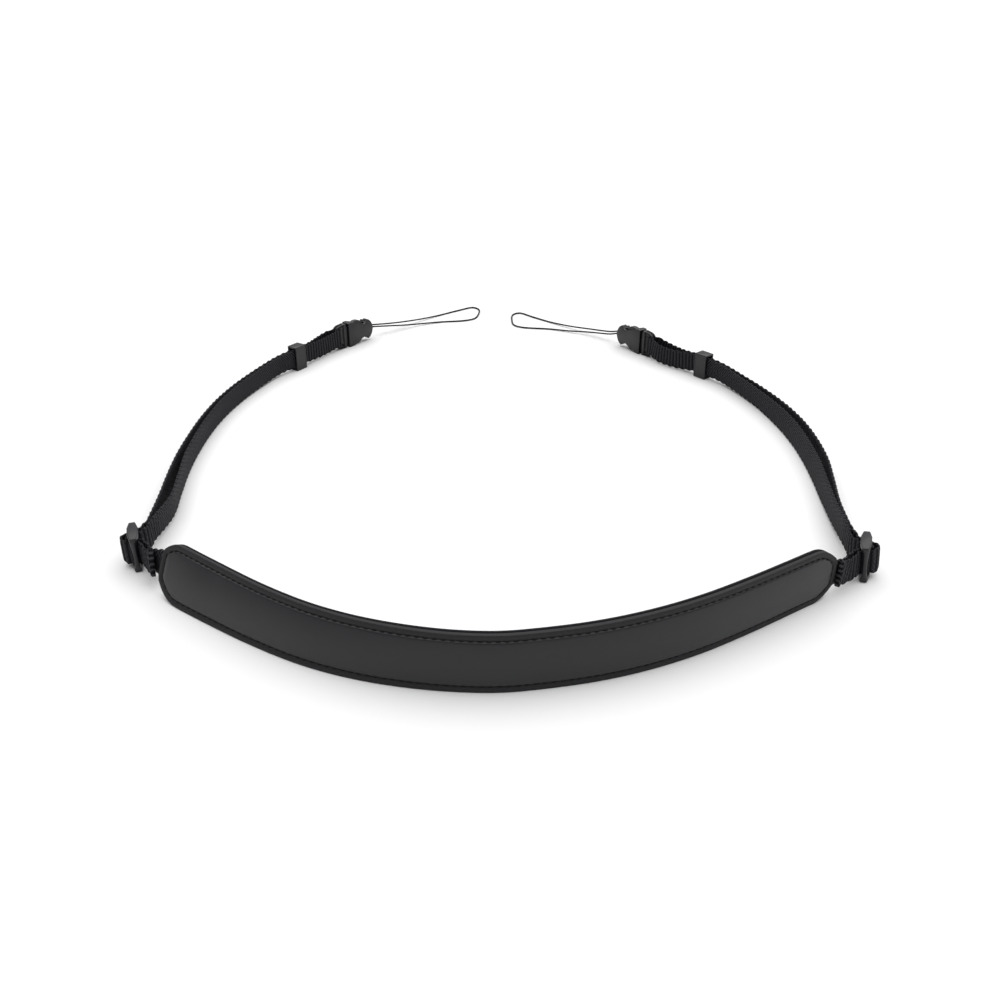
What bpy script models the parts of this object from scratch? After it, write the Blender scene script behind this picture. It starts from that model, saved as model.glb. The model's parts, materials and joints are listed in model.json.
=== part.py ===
"""A narrow camera neck strap, standing on its lower edge as an open ring.

A leather pad lies across the front. A webbing leaves each end of it, runs round the bars of a
three bar glide, along the arm, through a keeper and round the bar of a small side release buckle,
and comes back outside itself to end in a folded tail beside the pad. A thin cord loop leaves each
buckle, to be threaded through a camera's eyelet.

Plan tables are in millimetres: x to the right, y away from the viewer, measured from a point in
front of the pad. ORIGIN_X and ORIGIN_Y bring them to the frame's origin, which is the middle of
the footprint. Heights are above the surface that the strap stands on. A lean is in degrees from
upright, and positive where the top edge leans out of the ring.
"""

import math

import bmesh
import bpy
from mathutils import Matrix, Vector

MM = 0.001
ORIGIN_X = 0.7
ORIGIN_Y = 396.5

# Webbing
WEB_WIDTH = 10.0
WEB_THICK = 1.3
LAYER_GAP = 0.3
LAYER_STEP = WEB_THICK + LAYER_GAP
WEB_IN_PAD = 13.0
WEB_RISE_IN_PAD = {"left": 11.9, "right": 8.9}

# The pressed fold at the webbing's end: distance on from there, inner and outer face in half thicknesses
FOLD_ROWS = ((0.3, 1.0, 2.2), (2.2, 1.0, 2.3), (2.7, 0.6, 1.7))

# The smooth curve through the rows dips a little below them
SEAT_CLEAR = 0.05

# Pad
PANEL_THICK = 1.25
PANEL_GAP = 0.3
PAD_DOME = 0.7
PAD_END_LONG = 12.4
POCKET_CLEAR = 0.3

# Three bar glide
GLIDE_TALL = 14.0
GLIDE_RAIL = 1.7
GLIDE_BAR_RADIUS = 1.0
GLIDE_BAR_SPACING = 5.5
GLIDE_END_HALF = 1.15
GLIDE_MID_HALF = 1.95
GLIDE_FLAT_HALF = 2.6

# Keeper
KEEPER_LONG = 7.4
KEEPER_THICK = 6.0
KEEPER_TALL = 13.0
KEEPER_WALL = 1.25
KEEPER_HOLE_TALL = 10.6

# Side release buckle, u along the strap from the mouth of the female half
BUCKLE_THICK = 5.4
BUCKLE_MIDDLE = 6.95
FEMALE_LONG = 18.6
MOUTH_HALF = 5.6
CAVITY_HALF = 1.6
COLLAR_LONG = 2.8
CAVITY_END = 12.4
TONGUE_HALF = 1.3
MALE_LONG = 8.6
MALE_GAP = 0.4
MALE_BAR_HALF = 1.0
MALE_BAR_WIDE = 2.6
MALE_SLOT_LONG = 3.4
BAR_CORNER_GAP = 0.5
MALE_SLOT_HALF = 5.35
MALE_PLATE_HALF = 2.35
MALE_PLATE_TALL = 6.95

# Cord loop
CORD_DIAMETER = 0.9
CORD_CLEAR = 0.35
CORD_SPREAD = 0.62

SIDES = ("left", "right")
OUT = {"left": -1.0, "right": 1.0}

# x, y, lean and width of the pad's outer face where it meets the surface, from the left tip to the right
PAD_ROWS = (
    (-121.0, 289.8, -25.0, 20.9),
    (-101.2, 275.3, -23.5, 20.5),
    (-81.5, 262.0, -19.5, 20.1),
    (-63.3, 251.6, -16.0, 20.0),
    (-46.6, 244.9, -12.0, 20.0),
    (-30.7, 240.8, -8.5, 20.0),
    (-15.3, 238.6, -5.5, 20.0),
    (0.0, 238.1, -4.5, 20.0),
    (15.3, 240.2, -4.5, 20.0),
    (31.0, 243.7, -4.5, 20.0),
    (47.2, 249.2, -4.5, 20.0),
    (64.3, 257.2, -4.0, 20.0),
    (82.9, 268.4, -3.0, 20.0),
    (102.8, 281.6, -2.0, 20.0),
    (116.2, 290.4, -2.0, 20.0),
)

# distance from the pad's tip, and the shares of its width where its lower and upper edge lie there
PAD_END_ROWS = {
    "left": (
        (0.0, 0.39, 0.76), (0.5, 0.315, 0.81), (1.6, 0.245, 0.865), (3.2, 0.17, 0.92),
        (5.2, 0.1, 0.97), (7.4, 0.045, 0.995), (9.8, 0.01, 1.0), (12.4, 0.0, 1.0),
    ),
    "right": (
        (0.0, 0.36, 0.67), (0.5, 0.28, 0.725), (1.6, 0.205, 0.785), (3.2, 0.135, 0.855),
        (5.2, 0.07, 0.92), (7.4, 0.025, 0.97), (9.8, 0.0, 0.995), (12.4, 0.0, 1.0),
    ),
}

# x, y, foot and lean of the inner layer, how far apart the outer layer runs, and its own lean, from
# the glide to the keeper
ARM_ROWS = {
    "left": (
        (-129.9, 321.6, 2.2, -2.0, 1.7, -5.0),
        (-128.8, 342.6, 1.0, -3.0, 4.3, -1.8),
        (-131.4, 362.9, 0.2, -3.0, 4.2, -1.8),
        (-133.5, 382.3, 0.0, 0.0, 3.4, 0.0),
        (-134.4, 401.5, 0.0, -1.0, 2.9, -1.0),
        (-134.1, 420.7, 0.0, -1.5, 2.6, -1.0),
        (-132.2, 439.8, 0.0, 0.0, 2.3, 0.0),
        (-128.4, 458.6, 0.0, 0.0, 2.1, 0.0),
        (-122.6, 476.6, 0.4, -2.0, 1.8, -1.5),
        (-115.3, 493.5, 1.0, -2.0, 1.65, -2.0),
    ),
    "right": (
        (128.1, 318.0, 2.2, -2.0, 1.7, -6.0),
        (129.4, 338.8, 1.0, 1.0, 2.1, -3.0),
        (130.8, 358.5, 0.2, 7.0, 3.3, 3.0),
        (132.2, 377.8, 0.0, 11.0, 4.4, 6.6),
        (132.8, 396.7, 0.0, 10.0, 4.8, 6.0),
        (132.0, 415.3, 0.0, 10.0, 4.7, 6.0),
        (129.7, 433.7, 0.0, 5.0, 4.2, 3.0),
        (125.9, 452.1, 0.0, -3.0, 3.3, -2.0),
        (120.2, 468.7, 0.4, -5.0, 2.1, -3.0),
        (113.2, 483.2, 1.1, -3.0, 1.65, -2.0),
    ),
}

# x, y of the middle and heading of the strap there
GLIDE_AT = {"left": (-133.1, 310.9, 109.0), "right": (131.8, 303.9, 70.5)}
GLIDE_LEAN = {"left": 0.0, "right": -6.0}
KEEPER_AT = {"left": (-108.4, 505.5, 56.0), "right": (106.7, 493.5, 130.0)}
MOUTH_AT = {"left": (-86.9, 539.0, 51.0), "right": (79.1, 527.7, 126.0)}

# along, out: the inner layer from the pad to the glide's middle bar, in the glide's own axes
GLIDE_INNER = {
    "left": ((-12.0, -6.4), (-7.0, -4.6), (-3.9, -3.3), (-2.3, -1.6), (-1.95, 0.0), (-1.5, 1.6)),
    "right": ((-13.1, -8.0), (-9.2, -6.1), (-4.2, -3.6), (-2.3, -1.6), (-1.95, 0.0), (-1.5, 1.6)),
}
# the same for the outer layer, which ends there in a tail
GLIDE_OUTER = {
    "left": ((-11.5, -4.0), (-7.5, -2.85), (-5.0, -2.12), (-3.88, -1.2), (-3.55, 0.0), (-2.8, 2.9)),
    "right": ((-11.6, -5.2), (-7.5, -2.95), (-5.0, -2.12), (-3.88, -1.2), (-3.55, 0.0), (-2.8, 2.9)),
}
GLIDE_INNER_TOP = 2.35
GLIDE_OUTER_TOP = 4.25
# along, out, rise and lean where the tail's pressed fold starts, for each side
TAIL_END = {"left": (-16.2, -5.5, 2.0, -9.0), "right": (-16.3, -7.8, 1.2, -3.0)}
# along, out: the layers from the middle bar to the arm
GLIDE_INNER_AWAY = ((1.5, 1.6), (1.95, 0.0), (2.3, -1.6), (3.9, -3.5), (6.3, -5.1))
GLIDE_OUTER_AWAY = ((2.8, 2.9), (3.55, 0.0), (3.88, -1.2), (5.0, -2.2), (7.2, -3.4))

# share of the way from keeper to buckle bar, how far the layer bows out, and how far it sags
OUTER_BOW = {
    "left": ((0.3, 3.1, 0.6), (0.6, 5.6, 1.1), (0.85, 5.9, 0.6)),
    "right": ((0.3, 2.5, 0.9), (0.6, 4.8, 1.6), (0.85, 5.3, 1.0)),
}
INNER_BOW = {
    "left": ((0.5, -0.3, 0.4),),
    "right": ((0.45, -1.8, 1.2), (0.8, -1.5, 1.1)),
}

# x, y, height of each cord loop, from the near strand at the buckle round the end and back
LOOP_ROWS = {
    "left": (
        (-67.0, 560.2, 4.7), (-59.0, 566.3, 3.0), (-53.5, 570.6, 1.9), (-47.9, 574.5, 1.1),
        (-36.2, 579.5, 0.52), (-21.0, 582.4, 0.52), (-15.6, 586.0, 0.52), (-13.2, 594.6, 0.52),
        (-13.4, 603.6, 0.52), (-17.0, 607.2, 0.52), (-26.2, 601.2, 0.52), (-36.9, 592.4, 0.52),
        (-48.4, 582.1, 1.4), (-59.4, 570.5, 3.5), (-67.4, 561.6, 5.6),
    ),
    "right": (
        (63.0, 546.7, 4.6), (57.7, 551.8, 3.3), (52.4, 556.3, 2.3), (46.8, 559.7, 1.5),
        (41.1, 562.3, 0.9), (29.6, 566.9, 0.52), (13.2, 570.0, 0.52), (8.6, 573.8, 0.52),
        (7.2, 583.6, 0.52), (8.2, 593.6, 0.52), (12.0, 596.4, 0.52), (20.0, 589.0, 0.52),
        (30.2, 579.5, 0.52), (41.6, 569.7, 1.3), (52.6, 559.8, 3.0), (63.2, 549.0, 5.3),
    ),
}

# u, half width of the female half's outline, and the upper half of the male half's tongue
FEMALE_ROWS = (
    (0.0, 6.95), (2.6, 6.95), (4.4, 6.3), (10.4, 3.95), (11.8, 3.95), (13.0, 4.9), (13.6, 5.75),
    (15.4, 5.1), (17.0, 3.9), (18.1, 2.3), (18.6, 0.9),
)
TONGUE_ROWS = (
    (-1.4, 5.2), (2.4, 5.2), (3.4, 5.4), (5.2, 6.2), (7.6, 6.3), (9.4, 5.5), (11.3, 4.5), (11.9, 3.9),
    (11.6, 3.2), (9.6, 3.6), (7.6, 4.4), (5.2, 4.3), (3.6, 3.4), (2.8, 2.4), (2.9, 0.8), (11.6, 0.8),
)
# u, half width of the male half's frame outline
FRAME_ROWS = ((-8.6, 4.2), (-8.1, 5.6), (-6.9, 6.5), (-4.4, 6.75), (-1.2, 6.75))

SAMPLE_LONG = 7.0
SAMPLE_TURN = 20.0


def material(name, colour, roughness):
    made = bpy.data.materials.new(name)
    made.use_nodes = True
    shader = made.node_tree.nodes["Principled BSDF"]
    shader.inputs["Base Color"].default_value = (*colour, 1.0)
    shader.inputs["Roughness"].default_value = roughness
    return made


UP = Vector((0.0, 0.0, 1.0))


def plan(x, y, z):
    """A plan position and a height, in millimetres from the frame's origin."""
    return Vector((x - ORIGIN_X, y - ORIGIN_Y, z))


def axes(heading, side):
    """Along the strap, and out of the ring."""
    angle = math.radians(heading)
    along = Vector((math.cos(angle), math.sin(angle), 0.0))
    out = Vector((along.y, -along.x, 0.0)) if side == "right" else Vector((-along.y, along.x, 0.0))
    return along, out


def leaning(out, degrees):
    angle = math.radians(degrees)
    return Vector((0.0, 0.0, math.cos(angle))) + out * math.sin(angle)


def spline(points, share):
    """A centripetal curve through four neighbouring points, between the middle two."""
    before, first, second, after = points
    t0 = 0.0
    t1 = t0 + max((first - before).length, 1e-6) ** 0.5
    t2 = t1 + max((second - first).length, 1e-6) ** 0.5
    t3 = t2 + max((after - second).length, 1e-6) ** 0.5
    t = t1 + (t2 - t1) * share
    a1 = before * ((t1 - t) / (t1 - t0)) + first * ((t - t0) / (t1 - t0))
    a2 = first * ((t2 - t) / (t2 - t1)) + second * ((t - t1) / (t2 - t1))
    a3 = second * ((t3 - t) / (t3 - t2)) + after * ((t - t2) / (t3 - t2))
    b1 = a1 * ((t2 - t) / (t2 - t0)) + a2 * ((t - t0) / (t2 - t0))
    b2 = a2 * ((t3 - t) / (t3 - t1)) + a3 * ((t - t1) / (t3 - t1))
    return b1 * ((t2 - t) / (t2 - t1)) + b2 * ((t - t1) / (t2 - t1))


def smooth(points, counts):
    """Points read from the smooth curve through the given ones, counts[i] for each span."""
    ends = [points[0] * 2 - points[1], *points, points[-1] * 2 - points[-2]]
    read = []
    for i, count in enumerate(counts):
        for step in range(count):
            read.append((i, step / count, spline(ends[i : i + 4], step / count)))
    read.append((len(points) - 2, 1.0, points[-1].copy()))
    return read


def span_counts(points, long, turn):
    """How many samples each span needs, by its length and by how far the route turns along it."""
    counts = []
    for i in range(len(points) - 1):
        here = points[i + 1] - points[i]
        before = here if i == 0 else points[i] - points[i - 1]
        after = here if i == len(points) - 2 else points[i + 2] - points[i + 1]
        bend = math.degrees(max(here.angle(before), here.angle(after)))
        counts.append(max(1, math.ceil(here.length / long), math.ceil(bend / turn)))
    return counts


def solid_from_rings(name, rings, skin):
    """A closed solid through rings of points, each ring the same count, with its two ends filled."""
    mesh = bmesh.new()
    rows = [[mesh.verts.new(point * MM) for point in ring] for ring in rings]
    for first, second in zip(rows, rows[1:]):
        for k in range(len(first)):
            n = (k + 1) % len(first)
            mesh.faces.new((first[k], first[n], second[n], second[k]))
    mesh.faces.new(list(reversed(rows[0])))
    mesh.faces.new(rows[-1])
    bmesh.ops.recalc_face_normals(mesh, faces=mesh.faces)
    return finished(name, mesh, skin)


def finished(name, mesh, skin):
    data = bpy.data.meshes.new(name)
    mesh.to_mesh(data)
    mesh.free()
    data.materials.append(skin)
    made = bpy.data.objects.new(name, data)
    bpy.context.collection.objects.link(made)
    return made


def prism(name, outline, low, high, skin):
    """An outline in the first two axes, standing between two heights of the third."""
    rings = [[Vector((a, b, c)) for a, b in outline] for c in (low, high)]
    return solid_from_rings(name, rings, skin)


def box(name, low, high, skin):
    outline = ((low[0], low[1]), (high[0], low[1]), (high[0], high[1]), (low[0], high[1]))
    return prism(name, outline, low[2], high[2], skin)


def combine(base, tool, operation):
    """Adds or cuts the tool, and keeps it as a hidden helper."""
    change = base.modifiers.new(tool.name, "BOOLEAN")
    change.operation = operation
    change.solver = "EXACT"
    change.object = tool
    tool.hide_render = True
    tool.display_type = "WIRE"


def place(pieces, middle, along, out, up):
    """Turns pieces made along u, out and up to where they lie in the ring."""
    turn = Matrix((
        (along.x, out.x, up.x, middle.x * MM),
        (along.y, out.y, up.y, middle.y * MM),
        (along.z, out.z, up.z, middle.z * MM),
        (0.0, 0.0, 0.0, 1.0),
    ))
    mirrored = turn.to_3x3().determinant() < 0
    for piece in pieces:
        piece.data.transform(turn)
        if mirrored:
            piece.data.flip_normals()


# Pad -----------------------------------------------------------------------------------------


def pad_route():
    """Samples of the pad's outer foot line: distance from the left tip, point, lean and width."""
    flat = [Vector((x - ORIGIN_X, y - ORIGIN_Y, 0.0)) for x, y, _, _ in PAD_ROWS]
    read = smooth(flat, [8] * (len(flat) - 1))
    samples = []
    travelled = 0.0
    for k, (i, share, point) in enumerate(read):
        if k:
            travelled += (point - read[k - 1][2]).length
        lean, width = (PAD_ROWS[i][c] + (PAD_ROWS[i + 1][c] - PAD_ROWS[i][c]) * share for c in (2, 3))
        samples.append((travelled, point, lean, width))
    return samples


PAD_SAMPLES = pad_route()
PAD_LONG = PAD_SAMPLES[-1][0]


def pad_at(distance):
    """Foot point, along, out and width directions, and width, of the pad at a distance from its tip."""
    last = len(PAD_SAMPLES) - 1
    k = 1
    while k < last and PAD_SAMPLES[k][0] < distance:
        k += 1
    (d0, p0, l0, w0), (d1, p1, l1, w1) = PAD_SAMPLES[k - 1], PAD_SAMPLES[k]
    share = (distance - d0) / (d1 - d0)
    before = PAD_SAMPLES[max(k - 3, 0)][1]
    after = PAD_SAMPLES[min(k + 2, last)][1]
    along = (after - before).normalized()
    out = Vector((along.y, -along.x, 0.0))
    width = leaning(out, l0 + (l1 - l0) * share)
    return p0.lerp(p1, share), along, out, width, w0 + (w1 - w0) * share


def pad_edges(distance):
    """Shares of the pad's width where its lower and upper edge lie: its ends are rounded."""
    left = distance < PAD_LONG / 2
    from_tip = distance if left else PAD_LONG - distance
    rows = PAD_END_ROWS["left" if left else "right"]
    for (d0, low0, high0), (d1, low1, high1) in zip(rows, rows[1:]):
        if from_tip <= d1:
            share = (from_tip - d0) / (d1 - d0)
            return low0 + (low1 - low0) * share, high0 + (high1 - high0) * share
    return 0.0, 1.0


def pad_spot(distance, rise, depth):
    """A point of the pad: rise along its width from the foot line, depth inward from its face."""
    foot, along, out, up, _ = pad_at(distance)
    inward = along.cross(up)
    if inward.dot(out) > 0:
        inward.negate()
    return foot + up * rise + inward * depth


def pad_point(distance, across, depth):
    """A point of the pad: across from -1 at its lower edge to 1 at its upper one."""
    low, high = pad_edges(distance)
    rise = pad_at(distance)[4] * (low + (high - low) * (across + 1) / 2)
    point = pad_spot(distance, rise, depth)
    if across == -1.0 and low == 0.0:
        point.z = 0.0
    point.z = max(point.z, 0.0)
    return point


END_STEPS = [row[0] for row in PAD_END_ROWS["left"]]
ACROSS = (-1.0, -0.82, -0.45, 0.0, 0.45, 0.82, 1.0)
PAD_STATIONS = [
    *END_STEPS,
    *[PAD_END_LONG + (PAD_LONG - 2 * PAD_END_LONG) * k / 32 for k in range(1, 32)],
    *[PAD_LONG - step for step in reversed(END_STEPS)],
]


def dome(distance, across):
    """How far the padded middle of the front face stands out."""
    from_tip = min(distance, PAD_LONG - distance)
    return PAD_DOME * (1 - abs(across) ** 2.5) * min(1.0, from_tip / 14.0)


def pad_panel(name, near, far, domed, skin):
    rings = []
    for distance in PAD_STATIONS:
        front = [
            pad_point(distance, a, near - (dome(distance, a) if domed else 0.0)) for a in ACROSS
        ]
        back = [pad_point(distance, a, far) for a in reversed(ACROSS)]
        rings.append(front + back)
    return solid_from_rings(name, rings, skin)


# Webbing -------------------------------------------------------------------------------------


def ribbon(name, route, width, thick, skin, end_rings=()):
    """A flat band along a route of (point, width direction) rows, with extra rings for a shaped end."""
    points = [row[0] for row in route]
    read = smooth(points, span_counts(points, SAMPLE_LONG, SAMPLE_TURN))
    places = [point for _, _, point in read]
    rings = []
    for k, (i, share, point) in enumerate(read):
        along = (places[min(k + 1, len(places) - 1)] - places[max(k - 1, 0)]).normalized()
        up = route[i][1].lerp(route[i + 1][1], share)
        up = (up - along * up.dot(along)).normalized()
        across = along.cross(up)
        w = up * width / 2
        t = across * thick / 2
        rings.append([point - w - t, point + w - t, point + w + t, point - w + t])
    for step, near, far in end_rings:
        middle = point + along * step
        rings.append([middle + w * b + across * (thick / 2 * a)
                      for a, b in ((-near, -1), (-near, 1), (far, 1), (far, -1))])
    return solid_from_rings(name, rings, skin)


def glide_axes(side):
    """The glide's foot, and its directions along the strap, out of the ring and up its bars."""
    x, y, heading = GLIDE_AT[side]
    along, out = axes(heading, side)
    lean = GLIDE_LEAN[side]
    up = leaning(out, lean)
    tilted = out * math.cos(math.radians(lean)) - UP * math.sin(math.radians(lean))
    rise = GLIDE_MID_HALF * abs(math.sin(math.radians(lean)))
    return plan(x, y, rise), along, tilted, up


def glide_row(side, along_mm, out_mm):
    """A row of a webbing's route in the glide's axes. Away from the glide it comes upright."""
    foot, along, out, up = glide_axes(side)
    middle = foot + up * (GLIDE_TALL / 2)
    beyond = abs(along_mm) - GLIDE_BAR_SPACING - 1.0
    if beyond > 0:
        out = axes(GLIDE_AT[side][2], side)[1]
        up = up.lerp(UP, min(beyond / 6.0, 1.0)).normalized()
    return middle + along * along_mm + out * out_mm, up


def bar_row(side, u, out_mm):
    x, y, heading = MOUTH_AT[side]
    along, out = axes(heading, side)
    return plan(x, y, BUCKLE_MIDDLE) + along * u + out * out_mm, UP


def pocket_rows(side):
    """The webbing's sewn end between the pad's panels, from the inside to the tip."""
    rows = []
    for from_tip in (WEB_IN_PAD, WEB_IN_PAD / 2, 0.6):
        distance = from_tip if side == "left" else PAD_LONG - from_tip
        middle = pad_spot(distance, WEB_RISE_IN_PAD[side], PANEL_THICK + PANEL_GAP / 2)
        rows.append((middle, pad_at(distance)[3]))
    return rows


def webbing_route(side):
    """One webbing: pad, glide, inner layer, keeper, buckle bar, outer layer, glide, folded tail."""
    keeper_x, keeper_y, keeper_heading = KEEPER_AT[side]
    keeper = plan(keeper_x, keeper_y, KEEPER_TALL / 2)
    k_along, k_out = axes(keeper_heading, side)
    half = LAYER_STEP / 2

    inner = pocket_rows(side)
    inner += [glide_row(side, a, o) for a, o in GLIDE_INNER[side]]
    inner.append(glide_row(side, 0.0, GLIDE_INNER_TOP))
    inner += [glide_row(side, a, o) for a, o in GLIDE_INNER_AWAY]

    outer = [glide_row(side, a, o) for a, o in GLIDE_OUTER[side]]
    outer.append(glide_row(side, 0.0, GLIDE_OUTER_TOP))
    outer += [glide_row(side, a, o) for a, o in GLIDE_OUTER_AWAY]

    rows = ARM_ROWS[side]
    for k, (x, y, foot, lean, apart, outer_lean) in enumerate(rows):
        before = rows[max(k - 1, 0)]
        after = rows[min(k + 1, len(rows) - 1)]
        heading = math.degrees(math.atan2(after[1] - before[1], after[0] - before[0]))
        _, out = axes(heading, side)
        for layer, offset, tilt in (
            (inner, WEB_THICK / 2, lean),
            (outer, WEB_THICK / 2 + apart, outer_lean),
        ):
            width = leaning(out, tilt)
            clear = SEAT_CLEAR + abs(math.sin(math.radians(tilt))) * WEB_THICK / 2
            low = plan(x, y, foot + clear) + out * offset
            layer.append((low + width * WEB_WIDTH / 2, width))

    for layer, offset in ((inner, -half), (outer, half)):
        for u in (-KEEPER_LONG / 2 - 0.5, KEEPER_LONG / 2 + 0.5):
            layer.append((keeper + k_along * u + k_out * offset, UP))

    bar_u = -MALE_LONG + MALE_BAR_WIDE - MALE_BAR_HALF
    wrap = MALE_BAR_HALF + BAR_CORNER_GAP + WEB_THICK / 2
    start, _ = inner[-1]
    reach, _ = bar_row(side, bar_u - 1.6, -wrap)
    _, out = axes(MOUTH_AT[side][2], side)
    for layer, bows in ((outer, OUTER_BOW), (inner, INNER_BOW)):
        for share, bow, sag in bows[side]:
            layer.append((start.lerp(reach, share) + out * bow - UP * sag, UP))

    turn = [bar_row(side, bar_u - 1.6, -wrap), bar_row(side, bar_u, -wrap)]
    for angle in (-45, 0, 45):
        a = math.radians(angle)
        turn.append(bar_row(side, bar_u + wrap * math.cos(a), wrap * math.sin(a)))
    turn += [bar_row(side, bar_u, wrap), bar_row(side, bar_u - 1.6, wrap + 0.25)]

    end_along, end_out, rise, lean = TAIL_END[side]
    end, _ = glide_row(side, end_along, end_out)
    _, glide_out = axes(GLIDE_AT[side][2], side)
    tail = [(end + UP * rise, leaning(glide_out, lean))]
    return inner + turn + list(reversed(outer)) + tail


# Hard pieces ---------------------------------------------------------------------------------


def glide(side, skin):
    name = f"glide_{side}"
    reach = GLIDE_BAR_SPACING + GLIDE_BAR_RADIUS
    outline = (
        (-reach, -GLIDE_END_HALF), (-GLIDE_FLAT_HALF, -GLIDE_MID_HALF),
        (GLIDE_FLAT_HALF, -GLIDE_MID_HALF), (reach, -GLIDE_END_HALF),
        (reach, GLIDE_END_HALF), (GLIDE_FLAT_HALF, GLIDE_MID_HALF),
        (-GLIDE_FLAT_HALF, GLIDE_MID_HALF), (-reach, GLIDE_END_HALF),
    )
    base = prism(name, outline, 0.0, GLIDE_RAIL, skin)
    top = prism(f"{name}_top", outline, GLIDE_TALL - GLIDE_RAIL, GLIDE_TALL, skin)
    pieces = [base]
    tools = []
    for k, at in enumerate((-GLIDE_BAR_SPACING, 0.0, GLIDE_BAR_SPACING)):
        circle = [
            (
                at + GLIDE_BAR_RADIUS * 0.98 * math.cos(math.radians(a)),
                GLIDE_BAR_RADIUS * math.sin(math.radians(a)),
            )
            for a in range(15, 375, 30)
        ]
        tools.append(
            prism(f"{name}_bar_{k}", circle, GLIDE_RAIL - 0.6, GLIDE_TALL - GLIDE_RAIL + 0.6, skin)
        )
    pieces += [*tools, top]
    place(pieces, *glide_axes(side))
    for tool in (*tools, top):
        combine(base, tool, "UNION")
    return base


def keeper(side, skin):
    name = f"keeper_{side}"
    long, thick, tall = KEEPER_LONG / 2, KEEPER_THICK / 2, KEEPER_TALL / 2
    base = box(name, (-long, -thick, -tall), (long, thick, tall), skin)
    hole = box(
        f"{name}_hole",
        (-long - 2, -thick + KEEPER_WALL, -KEEPER_HOLE_TALL / 2),
        (long + 2, thick - KEEPER_WALL, KEEPER_HOLE_TALL / 2),
        skin,
    )
    x, y, heading = KEEPER_AT[side]
    place([base, hole], plan(x, y, tall), *axes(heading, side), UP)
    combine(base, hole, "DIFFERENCE")
    return base


def upright(rows):
    """A closed outline from half widths, symmetrical about the middle."""
    return [(u, half) for u, half in rows] + [(u, -half) for u, half in reversed(rows)]


def standing_prism(name, outline, half, skin):
    """An outline in u and height, as thick as twice half across the ring's wall."""
    rings = [[Vector((u, out, v)) for u, v in outline] for out in (-half, half)]
    return solid_from_rings(name, rings, skin)


def female(side, skin):
    name = f"buckle_female_{side}"
    base = standing_prism(name, upright(FEMALE_ROWS), BUCKLE_THICK / 2, skin)
    mouth = box(
        f"{name}_mouth", (-2, -CAVITY_HALF, -MOUTH_HALF), (COLLAR_LONG + 0.5, CAVITY_HALF, MOUTH_HALF), skin
    )
    window = box(f"{name}_window", (COLLAR_LONG, -CAVITY_HALF, -9), (CAVITY_END, CAVITY_HALF, 9), skin)
    x, y, heading = MOUTH_AT[side]
    place([base, mouth, window], plan(x, y, BUCKLE_MIDDLE), *axes(heading, side), UP)
    combine(base, mouth, "DIFFERENCE")
    combine(base, window, "DIFFERENCE")
    return base


def male(side, skin):
    name = f"buckle_male_{side}"
    slot_at = -MALE_LONG + MALE_BAR_WIDE
    base = standing_prism(name, upright(FRAME_ROWS), MALE_BAR_HALF, skin)
    slot = box(
        f"{name}_slot",
        (slot_at, -4, -MALE_SLOT_HALF),
        (slot_at + MALE_SLOT_LONG + 0.5, 4, MALE_SLOT_HALF),
        skin,
    )
    plate = box(
        f"{name}_plate",
        (slot_at + MALE_SLOT_LONG, -MALE_PLATE_HALF, -MALE_PLATE_TALL),
        (-MALE_GAP, MALE_PLATE_HALF, MALE_PLATE_TALL),
        skin,
    )
    tongue = standing_prism(f"{name}_tongue", upright(TONGUE_ROWS), TONGUE_HALF, skin)
    x, y, heading = MOUTH_AT[side]
    place([base, slot, plate, tongue], plan(x, y, BUCKLE_MIDDLE), *axes(heading, side), UP)
    combine(base, slot, "DIFFERENCE")
    combine(base, plate, "UNION")
    combine(base, tongue, "UNION")
    return base


def loop(side, skin):
    """The cord loop, both its ends at the flat end of the female half."""
    x, y, heading = MOUTH_AT[side]
    along, _ = axes(heading, side)
    exit_at = plan(x, y, BUCKLE_MIDDLE) + along * (FEMALE_LONG + CORD_CLEAR)
    spread = Vector((0.0, 0.0, CORD_SPREAD))
    rows = [plan(*row) for row in LOOP_ROWS[side]]
    rows = [exit_at - spread, *rows, exit_at + spread]
    read = [point for _, _, point in smooth(rows, span_counts(rows, 4.2, 30.0))]
    curve = bpy.data.curves.new(f"loop_cord_{side}", "CURVE")
    curve.dimensions = "3D"
    line = curve.splines.new("POLY")
    line.points.add(len(read) - 1)
    for point, spot in zip(line.points, read):
        point.co = (*(spot * MM), 1.0)
    curve.bevel_depth = CORD_DIAMETER / 2 * MM
    curve.bevel_resolution = 2
    curve.use_fill_caps = True
    curve.materials.append(skin)
    made = bpy.data.objects.new(f"loop_cord_{side}", curve)
    bpy.context.collection.objects.link(made)
    length = sum((b - a).length for a, b in zip(read, read[1:]))
    print(f"loop_cord_{side}: {len(read)} points, {length:.1f} mm")


# Build ---------------------------------------------------------------------------------------

for old in list(bpy.data.objects):
    bpy.data.objects.remove(old, do_unlink=True)

leather = material("black_leather", (0.022, 0.022, 0.024), 0.55)
lining = material("black_lining", (0.018, 0.018, 0.019), 0.75)
woven = material("black_webbing", (0.014, 0.014, 0.015), 0.9)
moulded = material("black_acetal", (0.03, 0.03, 0.033), 0.5)
corded = material("black_cord", (0.01, 0.01, 0.01), 0.8)

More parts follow.
